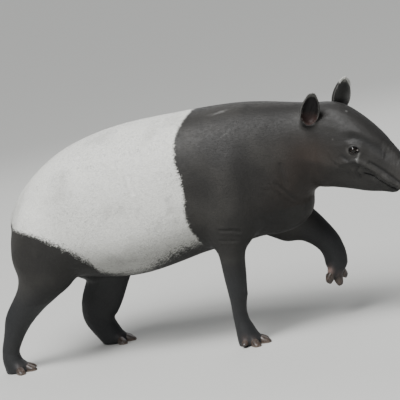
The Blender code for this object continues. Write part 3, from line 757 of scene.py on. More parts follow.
# Markings, painted shade and painted light, the same for the skin and for each tuft
marks = {
    # front edge of the white saddle: level, how far forward
    "front": ((0.500, 0.023), (0.566, 0.005), (0.628, 0.006), (0.703, 0.014), (0.774, 0.008),
              (0.848, -0.005), (0.913, -0.001), (0.965, 0.018), (1.010, 0.049)),
    # its lower edge: how far forward, level
    "lower": ((-0.870, 0.652), (-0.793, 0.642), (-0.726, 0.627), (-0.665, 0.605), (-0.574, 0.552),
              (-0.503, 0.503), (-0.462, 0.463), (-0.437, 0.410), (-0.388, 0.383), (-0.297, 0.371),
              (-0.163, 0.417), (-0.070, 0.457), (0.010, 0.477)),
    "rim": 0.12, "tip": {"right": 0.30, "left": 1.0},       # how pale the ears' edges are
    "tipFrom": {"right": 0.050, "left": 0.040},      # level in the ear where the tip's white starts
    "tipBlur": 0.014, "tipLean": 0.30, "tipWaves": 190,
    "cup": {"right": 1.0, "left": 0.0},          # painted shade in each ear's hollow: all of the near one's, only the bottom of the far one's
    "cupEdge": (1.01, 1.05), "cupLow": (-0.045, -0.010),     # its edge, and the levels of its bottom
    "rimIn": (0.06, 0.12), "rimOut": (0.05, 0.10), "rimFrom": (-0.05, -0.02),
    "tipReach": 1.1, "tipInside": 0.8, "tipInsideFrom": (0.046, 0.056),
    "frontBlur": 0.009, "lowerBlur": 0.034, "lowerSlope": 0.85,
    "ragged": 5, "patchy": 0.3,                  # unevenness of both edges in the skin's own pattern
    "crisp": (-0.75, -0.35, 0.30),               # behind and in front of these the lower edge is crisp
                                                 # and soft, and how crisp, as a share of the blur
    "lidRing": (1.30, 2.30),       # its inner and outer edge, as shares of the lids' opening
    "ringBlur": 0.12, "lidRim": (1.18, 1.40),
    "pouchUp": (-0.006, 0.010), "pouchSlope": 0.35, "pouchReach": 3,     # the paler skin under the lids
    "tear": ((0.238, 0.036), (0.237, 0.022), (0.233, 0.012), (0.240, -0.002)),
    "tearWaves": (700, 900),       # forward and up, which break it into spots
    "tearAside": 0.04, "lipsFrom": 0.24,
    "shaded": ("browHollow", "cornerFold", "lipGroove", "underEye"),     # folds with painted shade inside
    "shadedBody": ("neck", "throat"),
    "veins": (((-0.058, -0.253, 0.707), (-0.047, -0.252, 0.640), (-0.027, -0.244, 0.572)),
              ((-0.047, -0.252, 0.640), (-0.096, -0.255, 0.606), (-0.134, -0.252, 0.560)),
              ((-0.020, -0.246, 0.608), (-0.090, -0.252, 0.585))),
    "veinWidth": 0.0035, "speckWidth": 0.003, "tearWidth": 0.0038, "lipWidth": 0.007,
    "pinkUp": 0.004, "pinkWidth": 0.016,         # the band of bare skin over each hoof
    "specks": ((0.116, -0.090, 0.064), (0.127, -0.028, 0.174), (0.261, -0.017, 0.120)),
    "scratches": (((0.159, -0.100, 0.986), (0.202, -0.077, 0.996)),
                  ((0.198, -0.168, 0.902), (0.226, -0.160, 0.911))),
}


def whiteShare(points):              # 1 well inside the saddle, 0 well outside it
    levels, fronts = np.array(marks["front"]).T
    along, lowers = np.array(marks["lower"]).T
    before = np.interp(points[:, 2], levels, fronts) - points[:, 0]
    above = (points[:, 2] - np.interp(points[:, 0], along, lowers)) * marks["lowerSlope"]
    behind, ahead, share = marks["crisp"]
    above /= share + (1 - share) * ramp(points[:, 0], behind, ahead)
    front = ramp(before, -marks["frontBlur"], marks["frontBlur"])
    return np.minimum(front, ramp(above, -marks["lowerBlur"], marks["lowerBlur"]))


def tipShare(local, side):           # how white an ear's tip is, leaning to its outer side
    height = local[:, 2] + marks["tipLean"] * local[:, 1] * sides[side]
    start = marks["tipFrom"][side]
    parting = 0.35 + 0.65 * np.abs(np.sin(local[:, 1] * marks["tipWaves"] + 0.9))     # in two tufts
    return marks["tip"][side] * ramp(height, start, start + marks["tipBlur"]) * parting


def eyeMarks(points):                # the level of the lids, and the pouch under them
    opening, pouch = np.full(len(points), 9.0), np.zeros(len(points))
    for side in sides:
        local = toEye(points, side)
        opening = np.minimum(opening, lidLevel(local))
        below = 1 - ramp(local[:, 2] - marks["pouchSlope"] * local[:, 1], *marks["pouchUp"])
        pouch = np.maximum(pouch, below * (distanceTo(local, 0) < marks["pouchReach"] * eyeRadius))
    return opening, pouch


def earMarks(points):                # painted shade in the cups, painted light on the far cup's upper hollow, and the pale rims and tips
    paintedCupShade, lowInEar, paintedLitCup, fringe = np.zeros((4, len(points)))
    for side in sides:
        local = toEar(points, side)
        outer, cup = eggLevel(local, ears["sizes"]), hollowLevel(local)
        height, dark = local[:, 2], marks["cup"][side]
        inside = (1 - ramp(cup, *marks["cupEdge"])) * (outer < marks["cupEdge"][1])
        low = 1 - ramp(height, *marks["cupLow"])
        paintedCupShade = np.maximum(paintedCupShade, inside * np.maximum(dark, low))
        lowInEar = np.maximum(lowInEar, inside * low * dark)
        rim = 1 - ramp(np.abs(cup - 1), *marks["rimIn"])
        rim *= (1 - ramp(np.abs(outer - 1), *marks["rimOut"])) * ramp(height, *marks["rimFrom"])
        fringe = np.maximum(fringe, rim * marks["rim"])
        covered = 1 - marks["tipInside"] * inside * (1 - ramp(height, *marks["tipInsideFrom"]))
        fringe = np.maximum(fringe, (outer < marks["tipReach"]) * tipShare(local, side) * covered)
        # painted light: the far ear's hollow above its bottom is made paler, as if lit
        paintedLitCup = np.maximum(paintedLitCup, inside * (1 - dark) * (1 - low))
    return {"cup": paintedCupShade, "cupLow": paintedCupShade * lowInEar, "cupPaintedLight": paintedLitCup, "fringe": fringe}


def coatMarks(points, normals):      # shares from 0 to 1 of each lesser marking, painted shade and painted light among them
    held = toHead(points)
    onHead = headShare(points)
    opening, pouch = eyeMarks(points)
    onSide = np.abs(held[:, 1]) > marks["tearAside"]
    inner, outerRing = marks["lidRing"]
    blur = marks["ringBlur"]
    tear = bell(sideDistance(held, marks["tear"]), marks["tearWidth"]) * onSide
    tear = tear * (0.55 + 0.45 * np.sin(held[:, [0, 2]] @ marks["tearWaves"]))
    lips = bell(sideDistance(held, mouth["line"]), marks["lipWidth"]) * (held[:, 0] > marks["lipsFrom"])
    # painted shade on the lower jaw, darker lower down the head
    paintedJawShade = onHead * ramp(-held[:, 2] - 0.33 * np.maximum(held[:, 0] - 0.25, 0), 0.025, 0.070)
    # painted shade inside the listed folds of the face and neck
    shades = [bell(sideDistance(held, line), halfWidth) * onSide * onHead
              for line, halfWidth, _ in (faceFolds[name] for name in marks["shaded"])]
    shades += [0.6 * bell(mirrorDistance(points, line), halfWidth)
               for line, halfWidth, _ in (bodyFolds[name] for name in marks["shadedBody"])]
    gaps = [distanceTo(held, place) for place in marks["specks"]]
    gaps += [lineDistance(points, line) for line in marks["scratches"]]
    speck = strongest(bell(gap, marks["speckWidth"]) for gap in gaps)
    vein = strongest(bell(mirrorDistance(points, line), marks["veinWidth"]) for line in marks["veins"])
    hooves = [node for node in frame["nodes"] if node.startswith("hoof")]
    bands = [np.append(boxCentre(node)[:2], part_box(node)[1][2] + marks["pinkUp"]) for node in hooves]
    pink = strongest(bell(distanceTo(points, band), marks["pinkWidth"]) for band in bands)
    raised = (points[:, 0] > zones["raisedFrom"]) & (points[:, 2] < zones["raisedFoot"])
    return {
        "pale": ramp(opening, inner - blur, inner + blur) * (1 - ramp(opening, inner + 0.2, outerRing))
                * (0.15 + 0.85 * pouch),
        "wet": np.clip(tear * onHead + bell(opening - 1, blur), 0, 1),
        # dark: the lips' and lid margins' own colour, with painted shade in the mouth line and under
        # the upper lid
        "dark": np.clip(lips * onHead + (1 - ramp(opening, *marks["lidRim"])), 0, 1),
        "shade": strongest(shades),
        "speck": np.clip(speck + 0.7 * tear * onHead, 0, 1),
        "vein": vein, "pink": pink * np.where(raised, 0.9, 0.15),
        "warm": bell(held[:, 0] - 0.03, 0.10) * ramp(-held[:, 2], -0.09, 0.02)
                * (points[:, 2] > zones["headAbove"]),
        "cool": legShare(points),
        # painted shade on surfaces that face down and on the lower jaw
        "under": np.maximum(ramp(-normals[:, 2], -0.15, 0.85) * (points[:, 2] > 0.30), paintedJawShade),
        **earMarks(points),
    }


# Node helpers

def makeLook(name):
    look = bpy.data.materials.new(name)
    look.use_nodes = True
    return look, look.node_tree, look.node_tree.nodes["Principled BSDF"]


def setSockets(node, sockets):
    for key, value in sockets.items():
        if isinstance(value, bpy.types.NodeSocket):
            node.id_data.links.new(value, node.inputs[key])
        else:
            node.inputs[key].default_value = value


def addNode(tree, kind, sockets=None, **settings):
    node = tree.nodes.new("ShaderNode" + kind)
    for key, value in settings.items():
        setattr(node, key, value)
    setSockets(node, sockets or {})
    return node


def calc(tree, operation, first, second=0.0, clamp=False):
    node = addNode(tree, "Math", {0: first, 1: second}, operation=operation, use_clamp=clamp)
    return node.outputs[0]


def withAlpha(colour):               # a colour from a dictionary, or a socket as it is
    return (*colour, 1) if isinstance(colour, tuple) else colour


def mixColour(tree, share, first, second):
    sockets = {0: share, 6: withAlpha(first), 7: withAlpha(second)}
    return addNode(tree, "Mix", sockets, data_type="RGBA").outputs[2]


def scaleColour(tree, colour, share):
    return addNode(tree, "VectorMath", {0: colour, "Scale": share}, operation="SCALE").outputs[0]


def spread(tree, value, low, high, first=0.0, last=1.0):
    sockets = {0: value, 1: low, 2: high, 3: first, 4: last}
    return addNode(tree, "MapRange", sockets, interpolation_type="SMOOTHSTEP").outputs[0]


def readMark(tree, name):
    return addNode(tree, "Attribute", attribute_name=name).outputs["Fac"]


def noise(tree, place, scale, detail=2.0, stretch=(1, 1, 1), turn=(0, 0, 0)):
    mapped = addNode(tree, "Mapping", {"Vector": place, "Scale": stretch,
                                       "Rotation": [math.radians(angle) for angle in turn]})
    return addNode(tree, "TexNoise", {"Vector": mapped.outputs[0], "Scale": scale,
                                      "Detail": detail}).outputs["Fac"]


def followLine(tree, value, line):   # a float curve through (value, result) pairs
    values, results = zip(*line)
    low, high = min(results), max(results)
    share = addNode(tree, "MapRange", {0: value, 1: values[0], 2: values[-1]}).outputs[0]
    node = addNode(tree, "FloatCurve", {"Value": share})
    curve = node.mapping.curves[0]
    while len(curve.points) < len(line):
        curve.points.new(0.5, 0.5)
    for point, (at, result) in zip(curve.points, line):
        point.location = ((at - values[0]) / (values[-1] - values[0]), (result - low) / (high - low))
        point.handle_type = "AUTO_CLAMPED"
    node.mapping.update()
    return addNode(tree, "MapRange", {0: node.outputs[0], 3: low, 4: high}).outputs[0]


def addWhiteMask(tree, place):
    axes = addNode(tree, "SeparateXYZ", {0: place}).outputs
    before = calc(tree, "SUBTRACT", followLine(tree, axes["Z"], marks["front"]), axes["X"])
    above = calc(tree, "SUBTRACT", axes["Z"], followLine(tree, axes["X"], marks["lower"]))
    behind, ahead, share = marks["crisp"]
    above = calc(tree, "DIVIDE", above, spread(tree, axes["X"], behind, ahead, share, 1.0))
    hairs = noise(tree, place, coatGrain["edgeHairs"], 3, stretch=(0.45, 1, 1))
    patches = noise(tree, place, coatGrain["edgePatches"], 3)
    uneven = calc(tree, "ADD", calc(tree, "SUBTRACT", hairs, 0.5),
                  calc(tree, "MULTIPLY", calc(tree, "SUBTRACT", patches, 0.5), marks["patchy"]))

    def edge(gap, blur):
        ragged = calc(tree, "ADD", gap, calc(tree, "MULTIPLY", uneven, blur * marks["ragged"]))
        return spread(tree, ragged, -blur * 0.5, blur * 0.5)
    return calc(tree, "MINIMUM", edge(before, marks["frontBlur"]), edge(above, marks["lowerBlur"]))


coatColours = {
    "black": (0.0200, 0.0190, 0.0178), "blackWorn": (0.036, 0.034, 0.031),
    "warm": (0.032, 0.0225, 0.0175), "cool": (0.0195, 0.0205, 0.0220),
    "white": (0.72, 0.72, 0.68), "whiteWorn": (0.40, 0.40, 0.375), "vein": (0.30, 0.30, 0.285),
    # dark is the lips' and lid margins' own colour together with painted shade in the mouth line and
    # under the upper lid
    "pale": (0.062, 0.059, 0.055), "speck": (0.30, 0.30, 0.29), "dark": (0.006, 0.006, 0.006),
    "shade": (0.008, 0.008, 0.008), "under": 0.50,          # shade is painted shade in folds; the last is a share of the colour above, painted shade on undersides and the jaw
    # cup is painted shade in the ears' hollows, cupLow the reddish skin low in the near one, and the
    # third painted light on the far ear's hollow
    "cup": (0.007, 0.006, 0.006), "cupLow": (0.040, 0.022, 0.019), "cupPaintedLight": (0.13, 0.13, 0.125),
    "fringe": (0.62, 0.62, 0.58), "pink": (0.36, 0.25, 0.22),
}
# How fine each pattern of the coat is, about so many spots or waves to a metre
coatGrain = {
    "broad": 5.5, "fine": 70, "tone": 420, "edgeHairs": 260, "edgePatches": 38,
    "veins": 9, "veinBend": 14, "veinPatches": 4, "along": 210, "down": 230, "swells": 11,
}
# How strongly each mark tints the black coat, the white one, and then all of it
tints = {
    "black": {"warm": 0.75, "cool": 0.8},
    "white": {"vein": 0.6},
    "all": {"shade": 0.7, "pale": 0.8, "speck": 0.8, "pink": 0.85, "dark": 0.9,
            "cup": 0.95, "cupLow": 0.85, "cupPaintedLight": 0.9, "fringe": 0.95},
}


def addTints(tree, colour, where):
    for mark, share in tints[where].items():
        strength = calc(tree, "MULTIPLY", readMark(tree, mark), share, clamp=True)
        colour = mixColour(tree, strength, colour, coatColours[mark])
    return colour


def coatLook(name, onSkin):
    look, tree, shader = makeLook(name)
    place = addNode(tree, "TexCoord").outputs["Object"]
    broad = noise(tree, place, coatGrain["broad"], 4)
    fine = noise(tree, place, coatGrain["fine"], 4)
    if onSkin:
        white = addWhiteMask(tree, place)
        hairs = noise(tree, place, coatGrain["tone"], 2, stretch=(0.3, 1, 1))
        tone = spread(tree, hairs, 0.3, 0.7, 0.82, 1.15)
    else:
        white = readMark(tree, "white")
        tone = readMark(tree, "tone")
    black = mixColour(tree, spread(tree, broad, 0.42, 0.72), coatColours["black"],
                      coatColours["blackWorn"])
    black = addTints(tree, black, "black")
    pale = mixColour(tree, spread(tree, broad, 0.50, 0.80, 0.0, 0.75), coatColours["white"],
                     coatColours["whiteWorn"])
    pale = mixColour(tree, spread(tree, fine, 0.52, 0.85, 0.0, 0.5), pale, coatColours["whiteWorn"])
    bend = addNode(tree, "TexNoise", {"Vector": place, "Scale": coatGrain["veinBend"], "Detail": 3})
    bent = addNode(tree, "VectorMath", {0: place, 1: bend.outputs["Color"]}, operation="ADD")
    cracks = addNode(tree, "TexVoronoi", {"Vector": bent.outputs[0], "Scale": coatGrain["veins"]},
                     feature="DISTANCE_TO_EDGE").outputs[0]
    veined = spread(tree, noise(tree, place, coatGrain["veinPatches"], 2), 0.42, 0.62, 0.0, 0.80)
    veins = calc(tree, "MULTIPLY", spread(tree, cracks, 0.0, 0.035, 1.0, 0.0), veined)
    pale = addTints(tree, mixColour(tree, veins, pale, coatColours["vein"]), "white")
    colour = addTints(tree, mixColour(tree, white, black, pale), "all")
    colour = scaleColour(tree, colour, tone)
    # painted shade: undersides and the lower jaw darkened to the share in coatColours
    under = spread(tree, readMark(tree, "under"), 0.0, 1.0, 1.0, coatColours["under"])
    colour = scaleColour(tree, colour, under)
    rough = spread(tree, fine, 0.2, 0.8, 0.50, 0.62)
    rough = addNode(tree, "Mix", {0: readMark(tree, "wet"), 2: rough, 3: 0.12}).outputs[0]
    setSockets(shader, {"Base Color": colour, "Roughness": rough, "Specular IOR Level": 0.30,
                        "Sheen Weight": 0.03, "Sheen Roughness": 0.45})
    if onSkin:
        along = noise(tree, place, coatGrain["along"], 3, stretch=(0.16, 1, 0.75), turn=(0, -14, 0))
        down = noise(tree, place, coatGrain["down"], 3, stretch=(1, 1, 0.16))
        hairs = addNode(tree, "Mix", {0: readMark(tree, "cool"), 2: along, 3: down}).outputs[0]
        relief = addNode(tree, "Bump", {"Height": hairs, "Strength": 0.55, "Distance": 0.0012})
        wrinkles = addNode(tree, "Bump", {"Height": fine, "Strength": 0.35, "Distance": 0.0016,
                                          "Normal": relief.outputs[0]})
        swell = noise(tree, place, coatGrain["swells"], 3)
        swells = addNode(tree, "Bump", {"Height": swell, "Strength": 0.35, "Distance": 0.006,
                                        "Normal": wrinkles.outputs[0]})
        setSockets(shader, {"Normal": swells.outputs[0]})
    return look


print("skin: markings and finish")
for name, values in coatMarks(readPoints(skin), readPoints(skin, "normal")).items():
    setAttribute(skin.data, name, values)
fleshNodes = [node for node in frame["nodes"] if not node.startswith(("hoof", "eye"))]
ride(skin, coatLook("coatOnSkin", True), "coat_black", *fleshNodes)


# Eyes
print("eyes")

eyeFacts = {
    "cornea": 0.0012, "corneaEdge": 0.0118,        # how far it bulges, and its half width
    "iris": 0.0105, "pupil": (0.0062, 0.0042),     # half widths, across and up
    "wetRim": 0.0010, "wetRimOut": 0.0006,
    # the flesh in the front corner: beads, each out along the gaze, back, up and size in eyeball radii
    "corner": ((0.66, -0.80, -0.08, 0.13), (0.60, -0.93, 0.02, 0.11), (0.56, -0.97, -0.14, 0.09)),
}
eyeColours = {
    "pupil": (0.001, 0.001, 0.001), "iris": (0.010, 0.005, 0.003), "irisEdge": (0.003, 0.002, 0.002),
    "white": (0.006, 0.005, 0.004), "rim": (0.010, 0.008, 0.007),
    "corner": (0.48, 0.44, 0.42), "cornerDark": (0.10, 0.08, 0.07),
}


def eyeLook():
    look, tree, shader = makeLook("eyeball")
    place = addNode(tree, "TexCoord").outputs["Object"]
    fibres = noise(tree, place, 420, 3)
    iris = mixColour(tree, spread(tree, fibres, 0.35, 0.7), eyeColours["iris"], eyeColours["irisEdge"])
    colour = mixColour(tree, readMark(tree, "pupil"), iris, eyeColours["pupil"])
    colour = mixColour(tree, readMark(tree, "ball"), colour, eyeColours["white"])
    setSockets(shader, {"Base Color": colour, "Roughness": 0.03, "IOR": 1.42})
    return look


def wetLook():
    look, tree, shader = makeLook("wetRim")
    place = addNode(tree, "TexCoord").outputs["Object"]
    colour = mixColour(tree, spread(tree, noise(tree, place, 300, 3), 0.4, 0.65),
                       eyeColours["corner"], eyeColours["cornerDark"])
    colour = mixColour(tree, readMark(tree, "lit"), eyeColours["rim"], colour)
    setSockets(shader, {"Base Color": colour, "Roughness": 0.12})
    return look


def addEye(side, look):
    name = "eye_" + side
    piece = addBall("eyeball_" + side, boxCentre(name), eyeRadius, segments=96, rings=64)
    local = toEye(readPoints(piece), side)
    aside = np.hypot(local[:, 1], local[:, 2])
    front = local[:, 0] > 0
    edge, iris = eyeFacts["corneaEdge"], eyeFacts["iris"]
    local[:, 0] += eyeFacts["cornea"] * front * (1 - ramp(aside, 0.4 * edge, edge))
    writePoints(piece, fromEye(local, side))
    across, up = eyeFacts["pupil"]
    pupil = np.hypot(local[:, 1] / across, local[:, 2] / up)
    setAttribute(piece.data, "pupil", (1 - ramp(pupil, 0.92, 1.08)) * front)
    setAttribute(piece.data, "ball", np.where(front, ramp(aside, iris * 0.97, iris * 1.05), 1))
    ride(piece, look, "eye", name)


def addWetRim(side, look):           # the wet edge of the lids, and the flesh in the front corner
    thickness = 0.2                  # of the ring before it takes the lids' outline
    deselectAll()
    bpy.ops.mesh.primitive_torus_add(major_segments=96, minor_segments=8, major_radius=1,
                                     minor_radius=thickness)
    rim = bpy.context.object
    points = readPoints(rim)
    ring = lidOutline(np.arctan2(points[:, 1], points[:, 0])) * 0.98
    away = (np.hypot(points[:, 0], points[:, 1]) - 1) / thickness * eyeFacts["wetRim"]
    ring += unit(ring) * away[:, None]
    out = np.sqrt(np.maximum(eyeRadius ** 2 - (ring ** 2).sum(axis=1), 1e-9))
    out += points[:, 2] / thickness * eyeFacts["wetRim"] + eyeFacts["wetRimOut"]
    writePoints(rim, fromEye(np.column_stack((out, ring)), side))
    fixNormals(rim)
    setAttribute(rim.data, "lit", 0.4 * ramp(-ring[:, 1], 0, 0.5 * eyeRadius))
    beads = []
    for out, back, up, size in eyeFacts["corner"]:
        bead = addBall("bead", 0, size * eyeRadius, segments=28, rings=18)
        writePoints(bead, fromEye(readPoints(bead) + np.array((out, back, up)) * eyeRadius, side))
        fixNormals(bead)
        setAttribute(bead.data, "lit", np.full(len(bead.data.vertices), 0.8))
        beads.append(bead)
    ride(joinAll("wetRim_" + side, [rim] + beads), look, "eye")


eyeballLook, wetRimLook = eyeLook(), wetLook()
for side in sides:
    addEye(side, eyeballLook)
    addWetRim(side, wetRimLook)


# Hooves
print("hooves")

hoofFacts = {
    "voxel": 0.0016, "smooth": 6,
    "rings": 13, "ringDepth": 0.0006, "streaks": 260, "streakDepth": 0.0005, "patches": 45,
    "wornLevels": (0.002, 0.010),    # paler and rubbed below these
}
hoofColours = {
    "horn": (0.060, 0.042, 0.033), "dark": (0.020, 0.016, 0.014), "worn": (0.17, 0.13, 0.105),
}


def hoofLook():
    look, tree, shader = makeLook("hoofHorn")
    place = addNode(tree, "TexCoord").outputs["Object"]
    rings = addNode(tree, "TexWave", {"Vector": place, "Scale": hoofFacts["rings"],
                                      "Distortion": 3.0, "Detail": 3.0, "Detail Scale": 2.0},
                    wave_type="BANDS", bands_direction="Z").outputs["Fac"]
    streaks = noise(tree, place, hoofFacts["streaks"], 4, stretch=(1, 1, 0.12))
    patches = noise(tree, place, hoofFacts["patches"], 3)
    colour = mixColour(tree, spread(tree, patches, 0.35, 0.7), hoofColours["horn"], hoofColours["dark"])
    colour = mixColour(tree, spread(tree, streaks, 0.45, 0.75, 0, 0.5), colour, hoofColours["worn"])
    level = addNode(tree, "SeparateXYZ", {0: place}).outputs["Z"]
    worn = spread(tree, level, *hoofFacts["wornLevels"], 0.7, 0.0)
    colour = mixColour(tree, worn, colour, hoofColours["worn"])
    lines = addNode(tree, "Bump", {"Height": rings, "Strength": 0.6,
                                   "Distance": hoofFacts["ringDepth"]})
    relief = addNode(tree, "Bump", {"Height": streaks, "Strength": 0.5,
                                    "Distance": hoofFacts["streakDepth"], "Normal": lines.outputs[0]})
    rough = spread(tree, streaks, 0.3, 0.8, 0.34, 0.55)
    setSockets(shader, {"Base Color": colour, "Roughness": rough, "Normal": relief.outputs[0]})
    return look


def addHoof(node, look):
    piece = addNodeCopy(node)
    piece.name = "horn_" + node
    applyModifier(piece, "REMESH", mode="VOXEL", voxel_size=hoofFacts["voxel"])
    relax(piece, hoofFacts["smooth"])
    ride(piece, look, "hoof", node)


hornLook = hoofLook()
for node in sorted(frame["nodes"]):
    if node.startswith("hoof"):
        addHoof(node, hornLook)


# Coat
print("coat: roots")

coat = {
    "seed": 7, "mostFaces": 190000, "patch": 0.003,     # of the bake map, across one tuft
    # tufts to a square metre, length, half width
    "trunk": (92000, 0.0115, 0.00052),
    "legs": (110000, 0.0085, 0.00048),
    "head": (150000, 0.0064, 0.00040),
    "snout": (190000, 0.0038, 0.00030),
    "ear": (150000, 0.0055, 0.00036),
    "thick": 0.35, "sunk": 0.0003,      # ridge height as a share of half width; root under the skin
    "round": 0.30,                      # how far the shading turns to each side of a tuft
    "lift": (2.5, 5.5), "strayLift": 13, "sway": 12,       # degrees
    "stray": 0.02,                                         # share of tufts that stand up a little
    "toneSpread": 0.08, "tones": (0.7, 1.3),
    "narrowing": 0.35, "unbend": 0.5, "tipUnbend": 0.35,   # of the longer hairs, towards their tips
    "floorGap": 0.0005,                                    # the least height of a tip
}
# Which way the coat lies; the head's on its own axes, spreading round the snout's end
lie = {"trunk": (-1.0, 0, -0.32), "belly": (-1.0, 0, -0.05), "legs": (-0.16, 0, -1.0),
       "head": (-1.0, 0, -0.18), "snoutEnd": (0, 0, -0.080), "snoutRadius": 0.020,
       "spreadFrom": (0.42, 0.47), "bellyFacing": (0.3, 0.8),
       "upperLegs": (0.40, 0.62), "upperShare": 0.7}       # on thighs and upper arms it turns less


def unwrapSkin(skin):
    editAll(skin)
    bpy.ops.uv.smart_project(angle_limit=math.radians(75), island_margin=0.002)
    setMode("OBJECT")
    skin.data.uv_layers.active.name = "OFBake"


def readBake(skin):                  # the bake map's place for each corner of a face
    return readRows(skin.data.uv_layers["OFBake"].data, "uv", 2)


def onEar(points, side):             # 1 on the ear above its root
    local = toEar(points, side)
    level = eggLevel(local, ears["sizes"])
    return (1 - ramp(level, 1.02, 1.10)) * ramp(local[:, 2], -0.055, -0.035)


def coatSizes(points):               # tufts to a square metre, length and half width at each point
    rows = np.tile(np.array(coat["trunk"]), (len(points), 1))
    held = toHead(points)
    snout = headShare(points) * ramp(held[:, 0] + 0.3 * np.abs(held[:, 1]), 0.33, 0.46)
    shares = {"legs": legShare(points), "head": headShare(points), "snout": snout,
              "ear": strongest(onEar(points, side) for side in sides)}
    for key, share in shares.items():
        rows += (np.array(coat[key]) - rows) * share[:, None]
    return rows


# Where nothing grows: levels of lids, nostrils and cups, distance from the mouth line, height of soles
bare = {
    "lids": (1.10, 1.45), "nostrils": (1.15, 1.45), "cups": (1.04, 0.97), "cupShare": 0.8,
    "lips": (0.0030, 0.0060), "lipsFrom": 0.25, "soles": 0.012, "soleEdge": (0.03, -0.5),
}


def bareShare(points, normals):      # 1 where nothing grows
    held = toHead(points)
    shares = []
    for side in sides:
        forward, aside, up = nostril["place"]
        gap = distanceTo((held - (forward, sides[side] * aside, up)) / nostril["sizes"], 0)
        local = toEar(points, side)
        cup, outer = bare["cups"]
        inCup = (hollowLevel(local) < cup) & (eggLevel(local, ears["sizes"]) < outer)
        shares += [1 - ramp(lidLevel(toEye(points, side)), *bare["lids"]),
                   1 - ramp(gap, *bare["nostrils"]), bare["cupShare"] * inCup]
    lips = 1 - ramp(sideDistance(held, mouth["line"]), *bare["lips"])
    edge, facing = bare["soleEdge"]
    soles = (points[:, 2] < bare["soles"]) | ((points[:, 2] < edge) & (normals[:, 2] < facing))
    return strongest(shares + [lips * (held[:, 0] > bare["lipsFrom"]) * headShare(points), soles])


def scatterRoots(skin, dice):
    mesh = skin.data
    mesh.calc_loop_triangles()
    count = len(mesh.loop_triangles)
    corners, loops = (readRows(mesh.loop_triangles, key, 3, int) for key in ("vertices", "loops"))
    points, normals = readPoints(skin), readPoints(skin, "normal")
    a, b, c = (points[corners[:, i]] for i in range(3))
    across = np.cross(b - a, c - a)
    area = np.linalg.norm(across, axis=1) / 2
    middle = (a + b + c) / 3
    wanted = area * coatSizes(middle)[:, 0] * (1 - bareShare(middle, unit(across)))
    number = np.floor(wanted + dice.random(count)).astype(int)
    chosen = np.repeat(np.arange(count), number)
    first, second = dice.random(len(chosen)), dice.random(len(chosen))
    over = first + second > 1
    first[over], second[over] = 1 - first[over], 1 - second[over]
    shares = np.column_stack((1 - first - second, first, second))

    def blend(rows, index):
        return sum(rows[index[chosen, i]] * shares[:, i:i + 1] for i in range(3))
    return blend(points, corners), unit(blend(normals, corners)), blend(readBake(skin), loops)


def turnTo(along, goal, share):
    return along + (goal - along) * share[:, None]


def lieOfCoat(points, normals):
    trunk, belly, legs = (unit(np.array([lie[key]])) for key in ("trunk", "belly", "legs"))
    below = ramp(-normals[:, 2], *lie["bellyFacing"])
    along = turnTo(np.tile(trunk, (len(points), 1)), belly, below)
    upper = (1 - ramp(points[:, 2], *lie["upperLegs"])) * lie["upperShare"]
    along = turnTo(along, legs, np.maximum(legShare(points), upper * (below < 0.5)))
    held = toHead(points)
    away = (held - lie["snoutEnd"]) * (0, 1, 1) / lie["snoutRadius"]
    away *= ramp(held[:, :1], *lie["spreadFrom"])
    along = turnTo(along, unit(np.array([lie["head"]]) + away) @ headTurn.T, headShare(points))
    for side in sides:
        along = turnTo(along, earAxes(side)[1][:, 2], onEar(points, side))
    return unit(along - normals * (along * normals).sum(axis=1, keepdims=True))


# A tuft's faces, by its number of lengths: each ring has two edges and a ridge, and the tip comes last
bladeFaces = {
    1: ((0, 2, 1), (0, 1, 3), (0, 3, 2), (1, 2, 3)),
    2: ((0, 2, 1), (0, 1, 4, 3), (0, 3, 5, 2), (1, 2, 5, 4), (3, 4, 6), (3, 6, 5), (4, 5, 6)),
}


def growTufts(name, roots, look, slot, lengths=1):   # roots: one row for each tuft in each array
    along, normal = roots["along"], roots["normal"]
    aside = np.cross(normal, along)
    base = roots["place"] - normal * coat["sunk"]
    half = roots["half"][:, None]
    rows, shades = [], []
    for ring in range(lengths):
        run = ring / lengths
        rise = roots["length"][:, None] * run
        bend = roots["lift"][:, None] * (1 - coat["unbend"] * run)
        centre = base + rise * (along * np.cos(bend) + normal * np.sin(bend))
        width = half * (1 - coat["narrowing"] * run)
        edge, ridge = aside * width, normal * width * coat["thick"]
        rows += [centre - edge, centre + edge, centre + ridge]
        shades += [normal - aside * coat["round"], normal + aside * coat["round"], normal]
    bend = roots["lift"][:, None] * (1 - coat["tipUnbend"] * (lengths - 1))
    tip = base + roots["length"][:, None] * (along * np.cos(bend) + normal * np.sin(bend))
    tip[:, 2] = np.maximum(tip[:, 2], coat["floorGap"])
    rows.append(tip)
    shades.append(normal)
    faces = bladeFaces[lengths]
    triangles = sum(len(face) - 2 for face in faces)
    perPiece = coat["mostFaces"] // triangles
    verts, shades = np.stack(rows, axis=1), np.stack(shades, axis=1)
    for number, start in enumerate(range(0, len(base), perPiece), 1):
        part = slice(start, start + perPiece)
        addTuftMesh(f"{name}_{number}", verts[part], shades[part], faces, roots, part, look, slot)


